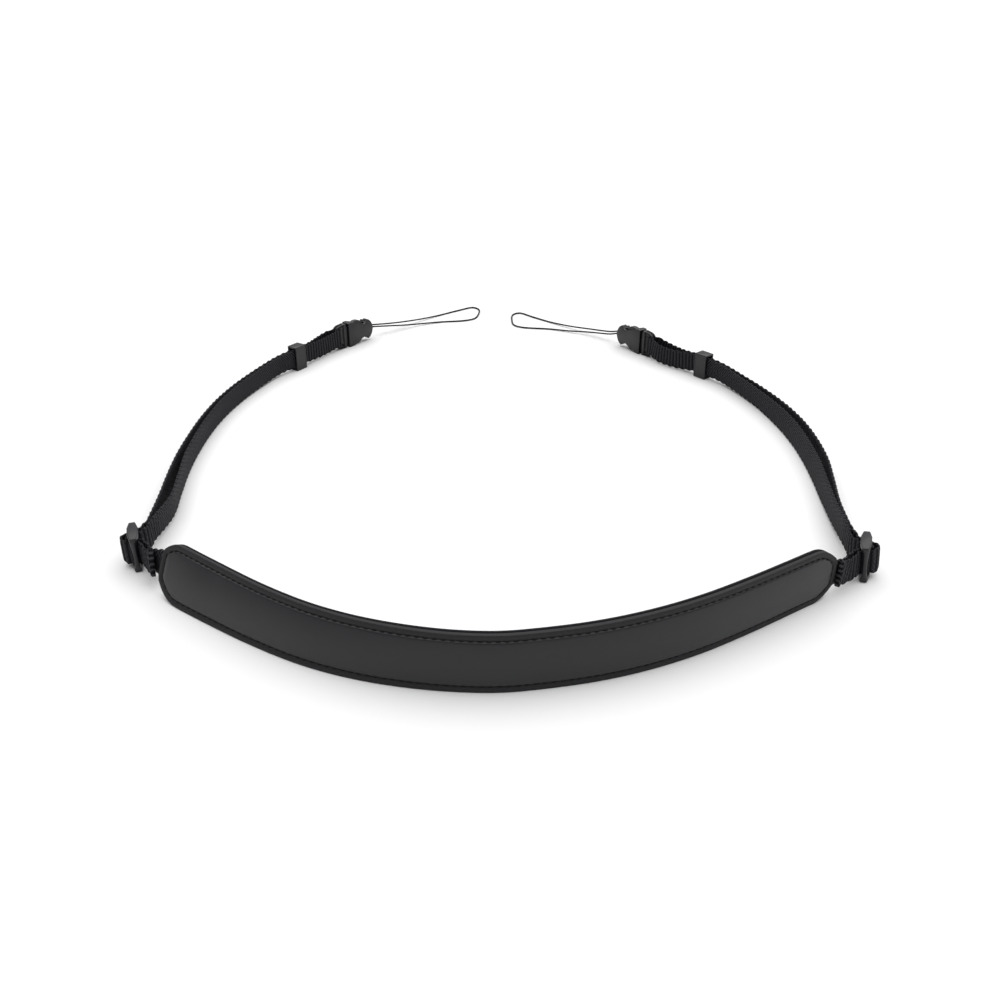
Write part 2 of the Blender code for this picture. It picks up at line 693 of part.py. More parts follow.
panels = [
    pad_panel("pad_front", 0.0, PANEL_THICK, True, leather),
    pad_panel("pad_back", PANEL_THICK + PANEL_GAP, 2 * PANEL_THICK + PANEL_GAP, False, lining),
]
print(f"pad: {PAD_LONG:.1f} mm along its foot")
for each in SIDES:
    route = webbing_route(each)
    fold = [(step, *((near, far) if each == "left" else (far, near))) for step, near, far in FOLD_ROWS]
    ribbon(f"webbing_{each}", route, WEB_WIDTH, WEB_THICK, woven, fold)
    sewn = pocket_rows(each)
    inside = sewn[0][0] + (sewn[0][0] - sewn[1][0]).normalized() * POCKET_CLEAR
    pocket = ribbon(
        f"pocket_{each}",
        [(inside, sewn[0][1]), *sewn[1:], glide_row(each, *GLIDE_INNER[each][0])],
        WEB_WIDTH + 2 * POCKET_CLEAR,
        WEB_THICK + 2 * POCKET_CLEAR,
        woven,
    )
    for panel in panels:
        combine(panel, pocket, "DIFFERENCE")
    glide(each, moulded)
    keeper(each, moulded)
    male(each, moulded)
    female(each, moulded)
    loop(each, corded)
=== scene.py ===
# %% [markdown]
# # Dressing a camera neck strap
# The strap lies on a table as an open ring: a leather neck pad at the front, a narrow webbing round
# each side, a glide and a keeper on each webbing, and a small side release buckle with a cord loop
# at each end. The plain model of it is loaded first. Its pieces say where everything is, and each
# cell below turns one of them into what the real strap shows: leather, stitches, webbing, moulded
# plastic and cord.

# %% Load the plain model
import json
import math

import bmesh
import bpy
import numpy as np
from mathutils import Matrix, Vector

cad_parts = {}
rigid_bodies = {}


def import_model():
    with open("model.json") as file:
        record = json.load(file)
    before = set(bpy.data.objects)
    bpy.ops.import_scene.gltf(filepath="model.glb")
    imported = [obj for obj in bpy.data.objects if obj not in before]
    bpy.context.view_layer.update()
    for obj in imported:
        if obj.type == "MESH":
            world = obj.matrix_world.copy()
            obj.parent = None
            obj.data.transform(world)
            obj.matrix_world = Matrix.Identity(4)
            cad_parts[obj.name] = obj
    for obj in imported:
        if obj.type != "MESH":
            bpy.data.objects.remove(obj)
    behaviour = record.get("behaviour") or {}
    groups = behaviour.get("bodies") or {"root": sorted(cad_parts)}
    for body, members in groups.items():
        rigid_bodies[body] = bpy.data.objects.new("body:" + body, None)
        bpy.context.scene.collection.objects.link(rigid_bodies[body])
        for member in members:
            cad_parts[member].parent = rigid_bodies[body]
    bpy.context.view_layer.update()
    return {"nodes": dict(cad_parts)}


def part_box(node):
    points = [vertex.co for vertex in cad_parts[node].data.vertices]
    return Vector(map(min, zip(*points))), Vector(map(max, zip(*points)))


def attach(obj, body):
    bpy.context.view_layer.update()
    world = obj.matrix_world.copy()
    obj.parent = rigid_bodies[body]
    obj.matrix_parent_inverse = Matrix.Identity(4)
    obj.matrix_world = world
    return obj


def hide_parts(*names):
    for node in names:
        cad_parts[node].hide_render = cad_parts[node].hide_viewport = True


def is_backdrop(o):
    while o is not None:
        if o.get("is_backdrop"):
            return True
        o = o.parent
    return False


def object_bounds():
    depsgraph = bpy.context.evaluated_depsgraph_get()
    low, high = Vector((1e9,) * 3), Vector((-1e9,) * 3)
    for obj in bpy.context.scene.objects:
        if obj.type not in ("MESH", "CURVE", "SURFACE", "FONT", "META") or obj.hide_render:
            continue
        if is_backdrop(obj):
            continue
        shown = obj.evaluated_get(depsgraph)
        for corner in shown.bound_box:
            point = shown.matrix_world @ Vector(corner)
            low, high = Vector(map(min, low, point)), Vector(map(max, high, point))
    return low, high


MM = 0.001
SIDES = ("left", "right")

for old in list(bpy.data.objects):
    bpy.data.objects.remove(old, do_unlink=True)

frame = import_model()
bpy.ops.object.select_all(action="DESELECT")

# %% [markdown]
# ## The camera
# The photograph looks down on the strap by 29 degrees, from a hand's breadth above the table and a
# little in front of the pad. A lens as long as its sensor is wide sees 53 degrees, as that view does.

# %% Camera
CAMERA_PLACE = (-0.0007, -0.3965, 0.199)
CAMERA_PITCH = 29.0
SENSOR = 36.0
LENS = 36.0

eye = bpy.data.objects.new("camera", bpy.data.cameras.new("camera"))
eye.data.sensor_width = SENSOR
eye.data.lens = LENS
eye.location = CAMERA_PLACE
eye.rotation_euler = (math.radians(90 - CAMERA_PITCH), 0, 0)
bpy.context.collection.objects.link(eye)
bpy.context.scene.camera = eye
print("camera:", CAMERA_PLACE, "looking", CAMERA_PITCH, "degrees down")

# %% [markdown]
# ## Numbers in a shader
# A shader's sums are built from Math nodes. Written by hand they are a long list of links, so one
# small class wraps a socket: an ordinary sum on it adds the Math node and gives the next socket. Any
# other node comes from one method, which sets the node's own options first and then its sockets.

# %% Shader sums and finishes
class Number:
    """A number that runs through a node tree."""

    def __init__(self, nodes, socket):
        self.nodes = nodes
        self.socket = socket

    def maths(self, operation, *others):
        sockets = dict(enumerate((self, *others)))
        return self.nodes.node("ShaderNodeMath", {"operation": operation}, sockets)

    def __add__(self, other):
        return self.maths("ADD", other)

    def __sub__(self, other):
        return self.maths("SUBTRACT", other)

    def __rsub__(self, other):
        return self.nodes.node("ShaderNodeMath", {"operation": "SUBTRACT"}, {0: other, 1: self})

    def __mul__(self, other):
        return self.maths("MULTIPLY", other)

    def __pow__(self, other):
        return self.maths("POWER", other)

    def __abs__(self):
        return self.maths("ABSOLUTE")

    __radd__ = __add__
    __rmul__ = __mul__


class Nodes:
    """The node tree of a material or of the room."""

    def __init__(self, tree):
        self.tree = tree

    def join(self, socket, value):
        """Links a number to a socket, or sets a plain value on it."""
        if isinstance(value, Number):
            self.tree.links.new(value.socket, socket)
        else:
            socket.default_value = value

    def node(self, kind, settings=None, sockets=None, output=0):
        """A new node: its settings, then its sockets by number or name. Gives one of its outputs."""
        made = self.tree.nodes.new(kind)
        for setting, value in (settings or {}).items():
            if setting == "stops":
                for stop, (place, colour) in zip(made.color_ramp.elements, value):
                    stop.position = place
                    stop.color = (*colour, 1.0)
            else:
                setattr(made, setting, value)
        for socket, value in (sockets or {}).items():
            self.join(made.inputs[socket], value)
        return Number(self, made.outputs[output])


class Finish(Nodes):
    """A Principled material whose even values sit on the shader's own sockets."""

    def __init__(self, name, colour, roughness, specular):
        self.material = bpy.data.materials.new(name)
        self.material.use_nodes = True
        super().__init__(self.material.node_tree)
        self.shader = self.tree.nodes["Principled BSDF"]
        self.feed("Base Color", (*colour, 1.0))
        self.feed("Roughness", roughness)
        self.feed("Specular IOR Level", specular)

    def feed(self, socket, value):
        self.join(self.shader.inputs[socket], value)

    def place(self):
        """The point on the piece, in metres."""
        return self.node("ShaderNodeTexCoord", output="Object")

    def marked(self, name):
        """What the mesh's own attribute of this name says at each point."""
        return self.node("ShaderNodeAttribute", {"attribute_name": name}, output="Fac")

    def noise(self, size, detail=2.0, roughness=0.5):
        """Soft blotches about as big as size, in metres, from 0 to 1."""
        return self.node("ShaderNodeTexNoise", {}, {
            "Vector": self.place(), "Scale": 1 / size, "Detail": detail, "Roughness": roughness,
        })

    def blend(self, share, dark, pale):
        """A dark colour turning into a paler one. A Mix node's sockets 6 and 7 are its two colours."""
        sockets = {0: share, 6: (*dark, 1.0), 7: (*pale, 1.0)}
        return self.node("ShaderNodeMix", {"data_type": "RGBA"}, sockets, output=2)

    def relief(self, height, depth, strength):
        """Raises the surface by a height from 0 to 1, depth in metres."""
        sockets = {"Height": height, "Distance": depth, "Strength": strength}
        self.feed("Normal", self.node("ShaderNodeBump", {}, sockets))


# %% [markdown]
# ## The finishes
# Everything on this strap is black, so it is told apart by gloss and relief alone. Each finish is
# worked out from the point on the piece. That needs no picture, and leaves no join between faces.
#
# ### Leather and lining
# The pad is smooth leather with a soft sheen and a grain finer than a millimetre, cells with narrow
# creases between them. It is worn dull along its rim, which an attribute named rim marks on its mesh.
# The pad's back is a duller lining with a short nap.

# %% Leather and lining
GRAIN_SIZE = 0.6 * MM
BLOTCH_SIZE = 9 * MM
FLECK_SIZE = 0.5 * MM
NAP_SIZE = 0.45 * MM
CREASE_SHARP = 6.0

leather = Finish("smooth_black_leather", (0.012, 0.012, 0.015), roughness=0.4, specular=0.38)
pores = leather.node("ShaderNodeTexVoronoi", {"feature": "DISTANCE_TO_EDGE"}, {
    "Vector": leather.place(), "Scale": 1 / GRAIN_SIZE,
})
creases = (1 - (pores * CREASE_SHARP).maths("MINIMUM", 1.0)) ** 2.0
blotches = leather.noise(BLOTCH_SIZE, 3.0)
rim = leather.marked("rim")
flecks = leather.noise(FLECK_SIZE, 3.0, 0.7)
grain = leather.noise(GRAIN_SIZE / 2, 3.0)
leather.relief(flecks * rim * 3.0 + grain * 0.5 - creases * 0.2, depth=0.03 * MM, strength=0.6)
leather.feed("Roughness", blotches * 0.10 + 0.34 + creases * 0.08 + rim * 0.22)
tone = blotches * 0.3 + 0.5 + (flecks - 0.75) * rim * 1.2
leather.feed("Base Color", leather.blend(tone, (0.002, 0.002, 0.003), (0.016, 0.016, 0.019)))

lining = Finish("dull_black_lining", (0.010, 0.010, 0.012), roughness=0.85, specular=0.2)
nap = lining.noise(NAP_SIZE, 4.0, 0.7)
lining.relief(nap, depth=0.09 * MM, strength=0.8)
lining.feed("Base Color", lining.blend(nap, (0.003, 0.003, 0.004), (0.018, 0.018, 0.021)))
print("leather grain:", GRAIN_SIZE / MM, "mm")

# %% [markdown]
# ### Plastic, thread and cord
# The plastic has the fine even texture that a mould leaves. It feeds gloss as well as relief, so that
# a highlight breaks up as on the real pieces. Thread and cord are dull, fuzzy and almost black.

# %% Moulded plastic, thread and cord
MOULD_SIZE = 0.22 * MM
CLOUD_SIZE = 4 * MM
THREAD_FUZZ = 0.12 * MM
CORD_FUZZ = 0.2 * MM

plastic = Finish("textured_black_plastic", (0.008, 0.008, 0.010), roughness=0.34, specular=0.4)
sparks = plastic.noise(MOULD_SIZE, 3.0, 0.6)
clouds = plastic.noise(CLOUD_SIZE)
plastic.relief(sparks, depth=0.02 * MM, strength=0.5)
plastic.feed("Roughness", sparks * 0.16 + 0.26)
plastic.feed("Base Color", plastic.blend(clouds, (0.006, 0.006, 0.008), (0.010, 0.010, 0.013)))

thread = Finish("black_thread", (0.006, 0.006, 0.007), roughness=0.7, specular=0.2)
thread.relief(thread.noise(THREAD_FUZZ), depth=0.03 * MM, strength=0.7)

strand = Finish("black_twisted_cord", (0.006, 0.006, 0.007), roughness=0.7, specular=0.3)
strand.relief(strand.noise(CORD_FUZZ), depth=0.04 * MM, strength=0.8)
print("mould texture:", MOULD_SIZE / MM, "mm")

# %% [markdown]
# ### The webbing's own finish
# The webbing is woven in a herringbone: fine slanting yarns that turn back near the middle. Each yarn
# is twisted, so it shows as a row of small beads. The pattern must run along the strap however it
# bends, so it reads the band's own UV map, which is laid out on the flat band in units of its width.
# Where the band is strained its ribs hide the slanting yarns. Two attributes of the mesh say how deep
# a groove between two ribs is, and how strained the band is. The colour is painted paler on the
# yarns' crests, a painted sheen, and darker in the grooves, a painted shade, with uneven tone besides.

# %% Webbing finish
YARNS_ACROSS = 7.7
BEADS_ACROSS = 21.0
YARNS_TURN = 0.55
YARN_SLOPE = 0.66
FUZZ_SIZE = 0.3 * MM

woven = Finish("woven_black_webbing", (0.006, 0.006, 0.007), roughness=0.62, specular=0.09)
spot = woven.node("ShaderNodeUVMap", {"uv_map": "weave"})
along_band = woven.node("ShaderNodeSeparateXYZ", {}, {"Vector": spot}, output="X")
across_band = woven.node("ShaderNodeSeparateXYZ", {}, {"Vector": spot}, output="Y")
slant = abs(across_band - YARNS_TURN) * YARN_SLOPE + along_band
yarns = (slant * (2 * math.pi * YARNS_ACROSS)).maths("SINE")
twist = ((across_band - along_band) * (2 * math.pi * BEADS_ACROSS)).maths("SINE")
fuzz = woven.noise(FUZZ_SIZE, 3.0, 0.7)
grooves = woven.marked("grooves")
strain = woven.marked("strain")
weave = (yarns * 0.5 + 0.5) * (twist * 0.3 + 0.7) * (1 - strain * 0.8) + strain * 0.34
woven.relief(weave * 0.8 + fuzz * 0.5, depth=0.2 * MM, strength=1.0)
# Painted sheen on the yarns' crests and painted shade in the rib grooves; the fuzz adds uneven tone.
yarn_sheen_and_groove_shade = (weave * 1.8 + fuzz * 1.5 - 1.1) * (1 - grooves)
woven.feed("Base Color", woven.blend(yarn_sheen_and_groove_shade, (0.002, 0.002, 0.003), (0.066, 0.066, 0.073)))
woven.feed("Roughness", grooves * 0.3 + 0.6)
print("yarns in one width of webbing:", YARNS_ACROSS, "with", BEADS_ACROSS, "beads")

# %% [markdown]
# ## Smooth lines and closed bodies
# The soft pieces are all built in one way: a smooth line is read from a few rows, a ring of points is
# laid round it at each step, and neighbouring rings are joined into a closed body. These helpers do
# that, and give the body its finish, its soft shading and its place on the strap.

# %% Lines and bodies
def read_at(places, rows, at):
    """Rows read at any places from the smooth curve through the given ones."""
    places, rows, at = np.asarray(places), np.asarray(rows), np.asarray(at)
    rows = rows.reshape(len(rows), -1)
    k = np.clip(np.searchsorted(places, at, side="right") - 1, 0, len(places) - 2)
    step = (places[k + 1] - places[k])[:, None]
    t = (at[:, None] - places[k][:, None]) / step
    slope = np.gradient(rows, places, axis=0)
    first, second = rows[k], rows[k + 1]
    leave, arrive = slope[k] * step, slope[k + 1] * step
    return (
        (2 * t**3 - 3 * t**2 + 1) * first + (t**3 - 2 * t**2 + t) * leave
        + (3 * t**2 - 2 * t**3) * second + (t**3 - t**2) * arrive
    )


def unit(rows):
    return rows / np.linalg.norm(rows, axis=1, keepdims=True)


def distances(points):
    """How far along a line each of its points lies."""
    return np.concatenate([[0], np.cumsum(np.linalg.norm(np.diff(points, axis=0), axis=1))])


def between(at, places, points):
    """Points at some distances, on the straight stretches between the given ones."""
    return np.stack([np.interp(at, places, column) for column in points.T], axis=1)


def swing(phase):
    """From 0 to 1 and back in each full turn of the phase."""
    return 0.5 - 0.5 * np.cos(phase)


def belongs(piece):
    """Puts a piece in the scene, where it moves with the strap."""
    bpy.context.collection.objects.link(piece)
    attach(piece, "root")


def new_piece(name, spots, faces, finish):
    """A piece of the strap from its points and faces."""
    data = bpy.data.meshes.new(name)
    data.from_pydata(spots.reshape(-1, 3).tolist(), [], faces)
    data.materials.append(finish.material)
    piece = bpy.data.objects.new(name, data)
    belongs(piece)
    return piece


def smooth_body(name, rings, finish, angle=40):
    """A closed body through rings of points, with smooth shading and one finish."""
    count, around = rings.shape[:2]
    k = np.arange(count - 1)[:, None] * around
    j = np.arange(around)[None, :]
    n = (j + 1) % around
    quads = np.stack([k + j, k + n, k + around + n, k + around + j], axis=2).reshape(-1, 4)
    faces = quads.tolist()
    faces.append(list(range(around))[::-1])
    faces.append([(count - 1) * around + i for i in range(around)])
    body = new_piece(name, rings, faces, finish)
    turned = bmesh.new()
    turned.from_mesh(body.data)
    bmesh.ops.recalc_face_normals(turned, faces=turned.faces)
    turned.to_mesh(body.data)
    turned.free()
    shade(body, angle)
    return body


def mark(piece, name, values):
    """An attribute of the mesh, with one value at each of its points."""
    piece.data.attributes.new(name, "FLOAT", "POINT").data.foreach_set("value", values.ravel())


def alone(piece):
    """Makes a piece the active one and the only one that is selected."""
    bpy.ops.object.select_all(action="DESELECT")
    piece.select_set(True)
    bpy.context.view_layer.objects.active = piece
    return piece


def shade(piece, angle):
    """Smooth shading, but for edges that are sharper than an angle in degrees."""
    alone(piece)
    bpy.ops.object.shade_smooth_by_angle(angle=math.radians(angle))
    piece.select_set(False)


# %% [markdown]
# ## The cord loops
# A thin cord leaves each buckle through a hole and makes the loop that goes through a camera's
# eyelet. The photograph shows both loops from end to end, so each follows the plain model's route:
# out of the hole, down to the table, round its far end and back. It is three strands twisted together.
# A bevelled curve would be a plain round tube, so the cord is built from rings with three shallow
# lobes, which wind round as it goes.

# %% Cords
CORD_DIAMETER = 0.9 * MM
CORD_SIDES = 12
CORD_STEP = 0.35 * MM
CORD_ROOT = 1.5 * MM
CURVE_POINTS = 4000
STRANDS = 3
STRAND_DEEP = 0.12
TWIST_PITCH = 2.4 * MM
CORD_HEADING = {"left": 51.0, "right": 126.0}
CORD_ROUTE = {
    "left": (
        (-75.67, 157.23, 6.33), (-67.7, 163.7, 4.7), (-59.7, 169.8, 3.0), (-54.2, 174.1, 1.9),
        (-48.6, 178.0, 1.1), (-36.9, 183.0, 0.52), (-21.7, 185.9, 0.52), (-16.3, 189.5, 0.52),
        (-13.9, 198.1, 0.52), (-14.1, 207.1, 0.52), (-17.7, 210.7, 0.52), (-26.9, 204.7, 0.52),
        (-37.6, 195.9, 0.52), (-49.1, 185.6, 1.4), (-60.1, 174.0, 3.5), (-68.1, 165.1, 5.6),
        (-75.67, 157.23, 7.57),
    ),
    "right": (
        (67.26, 146.53, 6.33), (62.3, 150.2, 4.6), (57.0, 155.3, 3.3), (51.7, 159.8, 2.3),
        (46.1, 163.2, 1.5), (40.4, 165.8, 0.9), (28.9, 170.4, 0.52), (12.5, 173.5, 0.52),
        (7.9, 177.3, 0.52), (6.5, 187.1, 0.52), (7.5, 197.1, 0.52), (11.3, 199.9, 0.52),
        (19.3, 192.5, 0.52), (29.5, 183.0, 0.52), (40.9, 173.2, 1.3), (51.9, 163.3, 3.0),
        (62.5, 152.5, 5.3), (67.26, 146.53, 7.57),
    ),
}


def even_line(rows, step):
    """Even distances along the smooth curve through some rows, and the curve's points there."""
    chord = np.linalg.norm(np.diff(rows, axis=0), axis=1)
    places = np.concatenate([[0], np.cumsum(np.sqrt(chord))])
    fine = read_at(places, rows, np.linspace(0, places[-1], CURVE_POINTS))
    gone = distances(fine)
    at = np.linspace(0, gone[-1], round(gone[-1] / step))
    return at, between(at, gone, fine)


def loop_cord(side):
    heading = math.radians(CORD_HEADING[side])
    route = np.array(CORD_ROUTE[side]) * MM
    inside = np.array((math.cos(heading), math.sin(heading), 0)) * CORD_ROOT
    at, line = even_line(np.concatenate([route[:1] - inside, route, route[-1:] - inside]), CORD_STEP)
    ahead = unit(np.gradient(line, axis=0))
    beside = unit(np.cross(ahead, (0, 0, 1)))
    top = np.cross(beside, ahead)
    around = np.arange(CORD_SIDES) / CORD_SIDES * 2 * np.pi
    lobes = swing(STRANDS * around[None, :] - 2 * np.pi * at[:, None] / TWIST_PITCH)
    radius = CORD_DIAMETER / 2 * (1 - STRAND_DEEP * lobes)
    rings = (
        line[:, None] + beside[:, None] * (radius * np.cos(around))[..., None]
        + top[:, None] * (radius * np.sin(around))[..., None]
    )
    piece = smooth_body("twisted_cord_" + side, rings, strand, angle=70)
    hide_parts("loop_cord_" + side)
    print("cord", side, round(at[-1] / MM, 1), "mm,", CORD_ROOT / MM, "mm of it in the hole at each end")


for each in SIDES:
    loop_cord(each)

# %% [markdown]
# ## Reading the plain model
# The soft pieces are laid along the plain ones, so their lines are read from those meshes. A loaded
# node is loose triangles. A copy of it is merged first, and a sharp edge is then one where two faces
# meet at more than 50 degrees.

# %% Merged copies and sharp outlines
MERGE = 1e-6
SHARP = math.radians(50)


def merged(node):
    """A bmesh copy of a plain node, with its loose triangles joined."""
    mesh = bmesh.new()
    mesh.from_mesh(frame["nodes"][node].data)
    bmesh.ops.remove_doubles(mesh, verts=mesh.verts, dist=MERGE)
    return mesh


def is_sharp(edge):
    return len(edge.link_faces) == 2 and edge.calc_face_angle() > SHARP


def closed_outline(mesh):
    """The longest closed loop of sharp edges that no other sharp edge meets."""
    meeting = {v: [e for e in v.link_edges if is_sharp(e)] for v in mesh.verts}
    left = {v for v, edges in meeting.items() if len(edges) == 2}
    best = []
    while left:
        loop = [left.pop()]
        ahead = True
        while ahead:
            near = [e.other_vert(loop[-1]) for e in meeting[loop[-1]]]
            ahead = next((v for v in near if v in left), None)
            if ahead:
                left.discard(ahead)
                loop.append(ahead)
        closes = any(e.other_vert(loop[-1]) is loop[0] for e in meeting[loop[-1]])
        if closes and len(loop) > len(best):
            best = loop
    return [v.co.copy() for v in best]


# %% [markdown]
# ## The pad's rows
# The sharp outline of the pad's front face runs along its foot, round one end, back along the top
# and round the other end. Its points lie in pairs, one below the other, so the outline is turned
# until the pairs are closest, and each pair then gives one row: where the pad stands, which way it
# leans, and how far up its lower and upper edges lie. The ends are rounded, so the edges close in.
# The turned leather adds a little above the plain edge.

# %% Pad rows
TIP_REACH = 4 * MM
STRAIGHT = math.radians(0.01)
TURNED_UP = 0.4 * MM


def paired(loop):
    """The outline's lower and upper points, pair by pair from the left end to the right one."""
    ends = min(p.x for p in loop) + TIP_REACH, max(p.x for p in loop) - TIP_REACH
    loop = [
        p for k, p in enumerate(loop)
        if ends[0] < p.x < ends[1]
        or (p - loop[k - 1]).angle(loop[(k + 1) % len(loop)] - p) > STRAIGHT
    ]
    half = len(loop) // 2
    turned = [loop[k:] + loop[:k] for k in range(len(loop))]
    best = min(turned, key=lambda p: sum((a - b).length for a, b in zip(p[:half], reversed(p[half:]))))
    lower, upper = best[:half], list(reversed(best[half:]))
    if sum(p.z for p in lower) > sum(p.z for p in upper):
        lower, upper = upper, lower
    if lower[0].x > lower[-1].x:
        lower.reverse()
        upper.reverse()
    return np.array(lower), np.array(upper)


pad_lower, pad_upper = paired(closed_outline(merged("pad_front")))
pad_up = unit(pad_upper - pad_lower)
low_edge = pad_lower[:, 2] / pad_up[:, 2]
high_edge = pad_upper[:, 2] / pad_up[:, 2] + TURNED_UP
pad_foot = pad_lower - pad_up * low_edge[:, None]
pad_places = distances(pad_foot)
pad_long = pad_places[-1]
print("pad:", len(pad_foot), "rows,", round(pad_long / MM, 1), "mm along its foot")

# %% [markdown]
# ## The pad's two leathers
# Each panel is laid out flat first, as a leather worker cuts it: a fine grid of points over the
# outline, finer beside the edge, where the turned rim and the sewn groove are. How far each point is
# from the edge then says what it does: the rim rounds over, the seam pulls the leather down into a
# groove, and the padding inside the seam pushes it up. The columns are given in millimetres from the
# edge of a pad 20 mm wide, and move closer where the pad is narrower.

# %% Flat panel
HALF_WIDTH = 10.0
RIM_COLUMNS = (
    0.0, 0.1, 0.22, 0.4, 0.7, 1.1, 1.5, 1.78, 1.97, 2.11, 2.25, 2.39, 2.53, 2.72, 3.0, 3.4, 4.1, 5.1,
    6.5, 8.2,
)
TIP_STEPS = (0.0, 0.06, 0.14, 0.24, 0.36, 0.5, 0.66, 0.84, 1.04, 1.26, 1.5, 1.75, 2.0, 2.3, 2.6, 2.95)
ROW_STEP = 0.45 * MM
END_STEPS = 23


def spread(at, wide):
    """Rises at some distances along the pad, over shares of its width from -1 to 1."""
    low = read_at(pad_places, low_edge, at)
    high = read_at(pad_places, high_edge, at)
    return low + (high - low) * (np.asarray(wide)[None, :] + 1) / 2


side_share = 1 - np.array(RIM_COLUMNS) / HALF_WIDTH
across = np.concatenate([-side_share, [0.0], side_share[::-1]])
tips = np.array(TIP_STEPS) * MM
middle = np.arange(tips[-1] + ROW_STEP, pad_long - tips[-1], ROW_STEP)
rows = np.concatenate([tips, middle, pad_long - tips[::-1]])
rise = spread(rows, across)
flat = np.stack([np.repeat(rows, len(across)), rise.ravel()], axis=1)
print("flat panel:", rise.shape[0], "rows of", rise.shape[1], "points")

# %% [markdown]
# ### How far from the edge
# The distance to the outline is worked out for every point of the grid, and so is the place round the
# outline that is nearest. The same sum serves the seam later, where that place tells the stitches.
# A few thousand points are taken at once, so that the table of distances stays small.

# %% Distance from the edge
AT_ONCE = 2000
TINY = 1e-9


def pad_outline():
    """The flat outline, once round, in distance along and rise."""
    low_at, high_at = spread(rows, (-1, 1)).T
    lower = np.stack([rows, low_at], axis=1)
    upper = np.stack([rows, high_at], axis=1)
    end = np.linspace(0, 1, END_STEPS + 1)[1:-1, None]
    right = lower[-1] + (upper[-1] - lower[-1]) * end
    left = upper[0] + (lower[0] - upper[0]) * end
    return np.concatenate([lower, right, upper[::-1], left])


def nearest(points, line):
    """How far each point is from a closed line, and how far round the line its nearest place lies."""
    ahead = np.roll(line, -1, axis=0) - line
    long = np.maximum(np.linalg.norm(ahead, axis=1), TINY)
    round_line = np.concatenate([[0], np.cumsum(long)[:-1]])
    apart, place = np.full(len(points), np.inf), np.zeros(len(points))
    for k in range(0, len(points), AT_ONCE):
        some = points[k : k + AT_ONCE]
        close = np.linalg.norm(some[:, None] - line[None], axis=2).argmin(axis=1)
        for segment in (close - 1, close):
            away = some - line[segment]
            share = np.clip((away * ahead[segment]).sum(axis=1) / long[segment] ** 2, 0, 1)
            gap = np.linalg.norm(away - ahead[segment] * share[:, None], axis=1)
            better = gap < apart[k : k + AT_ONCE]
            apart[k : k + AT_ONCE][better] = gap[better]
            place[k : k + AT_ONCE][better] = (round_line[segment] + share * long[segment])[better]
    return apart, place


outline = pad_outline()
from_edge = nearest(flat, outline)[0].reshape(rise.shape)
print("farthest from the edge:", round(from_edge.max() / MM, 2), "mm")

# %% [markdown]
# ### Padding, by simulation
# Thin padding lies under the outer leather, and only the seam holds it down. A cloth simulation
# finds the shape such a cover takes: a flat sheet, pinned outside its seam, is blown up by a little
# pressure with gravity off. The solver is tuned to garments, so the sheet is ten times life size.
# Only its height is kept. Leather is too stiff for the small ripples that cloth makes across such a
# strip, so the heights are averaged along it, and how far they may rise is capped.

# %% Padded height
BLOWN_SCALE = 10.0
BLOWN_ROWS = 133
BLOWN_COLUMNS = 13
BLOWN_FRAMES = 20
COVER = {
    "vertex_group_mass": "sewn", "mass": 0.02, "quality": 6, "tension_stiffness": 8,
    "compression_stiffness": 8, "use_pressure": True, "uniform_pressure_force": 12,
}
PADDING = 1.0 * MM
SEAM_IN = 2.25 * MM
PINNED_TO = SEAM_IN + 0.3 * MM
SMOOTH_ROWS = 3.0
SMOOTH_REACH = 9


def without_ripples(height, inside):
    """Heights averaged along the pad, and still nothing at the seam."""
    reach = np.arange(-SMOOTH_REACH, SMOOTH_REACH + 1)
    share = np.exp(-((reach / SMOOTH_ROWS) ** 2) / 2)
    share = share / share.sum()
    padded = np.pad(height, ((SMOOTH_REACH, SMOOTH_REACH), (0, 0)), mode="edge")
    even = sum(w * padded[k : k + len(height)] for k, w in enumerate(share))
    return np.minimum(even, PADDING) * np.clip((inside - SEAM_IN) / MM, 0, 1)


def simulated(spots, inside):
    """Heights that the pressure gives a flat sheet with its points at these spots."""
    bpy.ops.mesh.primitive_grid_add(x_subdivisions=BLOWN_ROWS - 1, y_subdivisions=BLOWN_COLUMNS - 1)
    sheet = bpy.context.object
    corners = sheet.data.vertices
    order = np.lexsort(([round(v.co.y, 5) for v in corners], [round(v.co.x, 5) for v in corners]))
    for k, spot in zip(order, spots):
        corners[int(k)].co = (*(spot * BLOWN_SCALE), 0)
    sewn = sheet.vertex_groups.new(name="sewn")
    sewn.add([int(k) for k, gap in zip(order, inside) if gap < PINNED_TO], 1.0, "REPLACE")
    cloth = sheet.modifiers.new("padding", "CLOTH")
    for setting, value in COVER.items():
        setattr(cloth.settings, setting, value)
    cloth.settings.effector_weights.gravity = 0
    for step in range(1, BLOWN_FRAMES + 1):
        bpy.context.scene.frame_set(step)
    shape = sheet.evaluated_get(bpy.context.evaluated_depsgraph_get()).data
    height = np.array([abs(shape.vertices[int(k)].co.z) for k in order]) / BLOWN_SCALE
    print("the cover rose by", round(height.max() / MM, 2), "mm")
    bpy.data.objects.remove(sheet, do_unlink=True)
    bpy.context.scene.frame_set(1)
    return height


def blown_sheet():
    """Heights of the padded cover over a coarse grid of rows and columns."""
    at = np.linspace(0, pad_long, BLOWN_ROWS)
    wide = np.linspace(-1, 1, BLOWN_COLUMNS)
    up = spread(at, wide)
    spots = np.stack([np.repeat(at, len(wide)), up.ravel()], axis=1)
    inside = nearest(spots, outline)[0]
    height = simulated(spots, inside).reshape(up.shape)
    return at, wide, without_ripples(height, inside.reshape(up.shape))


blown_at, blown_wide, blown = blown_sheet()
print("blown heights:", [round(h / MM, 2) for h in blown[BLOWN_ROWS // 2]])

# %% [markdown]
# ### From flat to lying
# The finished relief is laid along the pad's rows: so far up the leaning panel, and so deep into the
# pad. The whole panel is one closed body, with its rounded front, the cut edge, and the side that
# faces the other panel, which is thinner where the webbing is sewn in between.

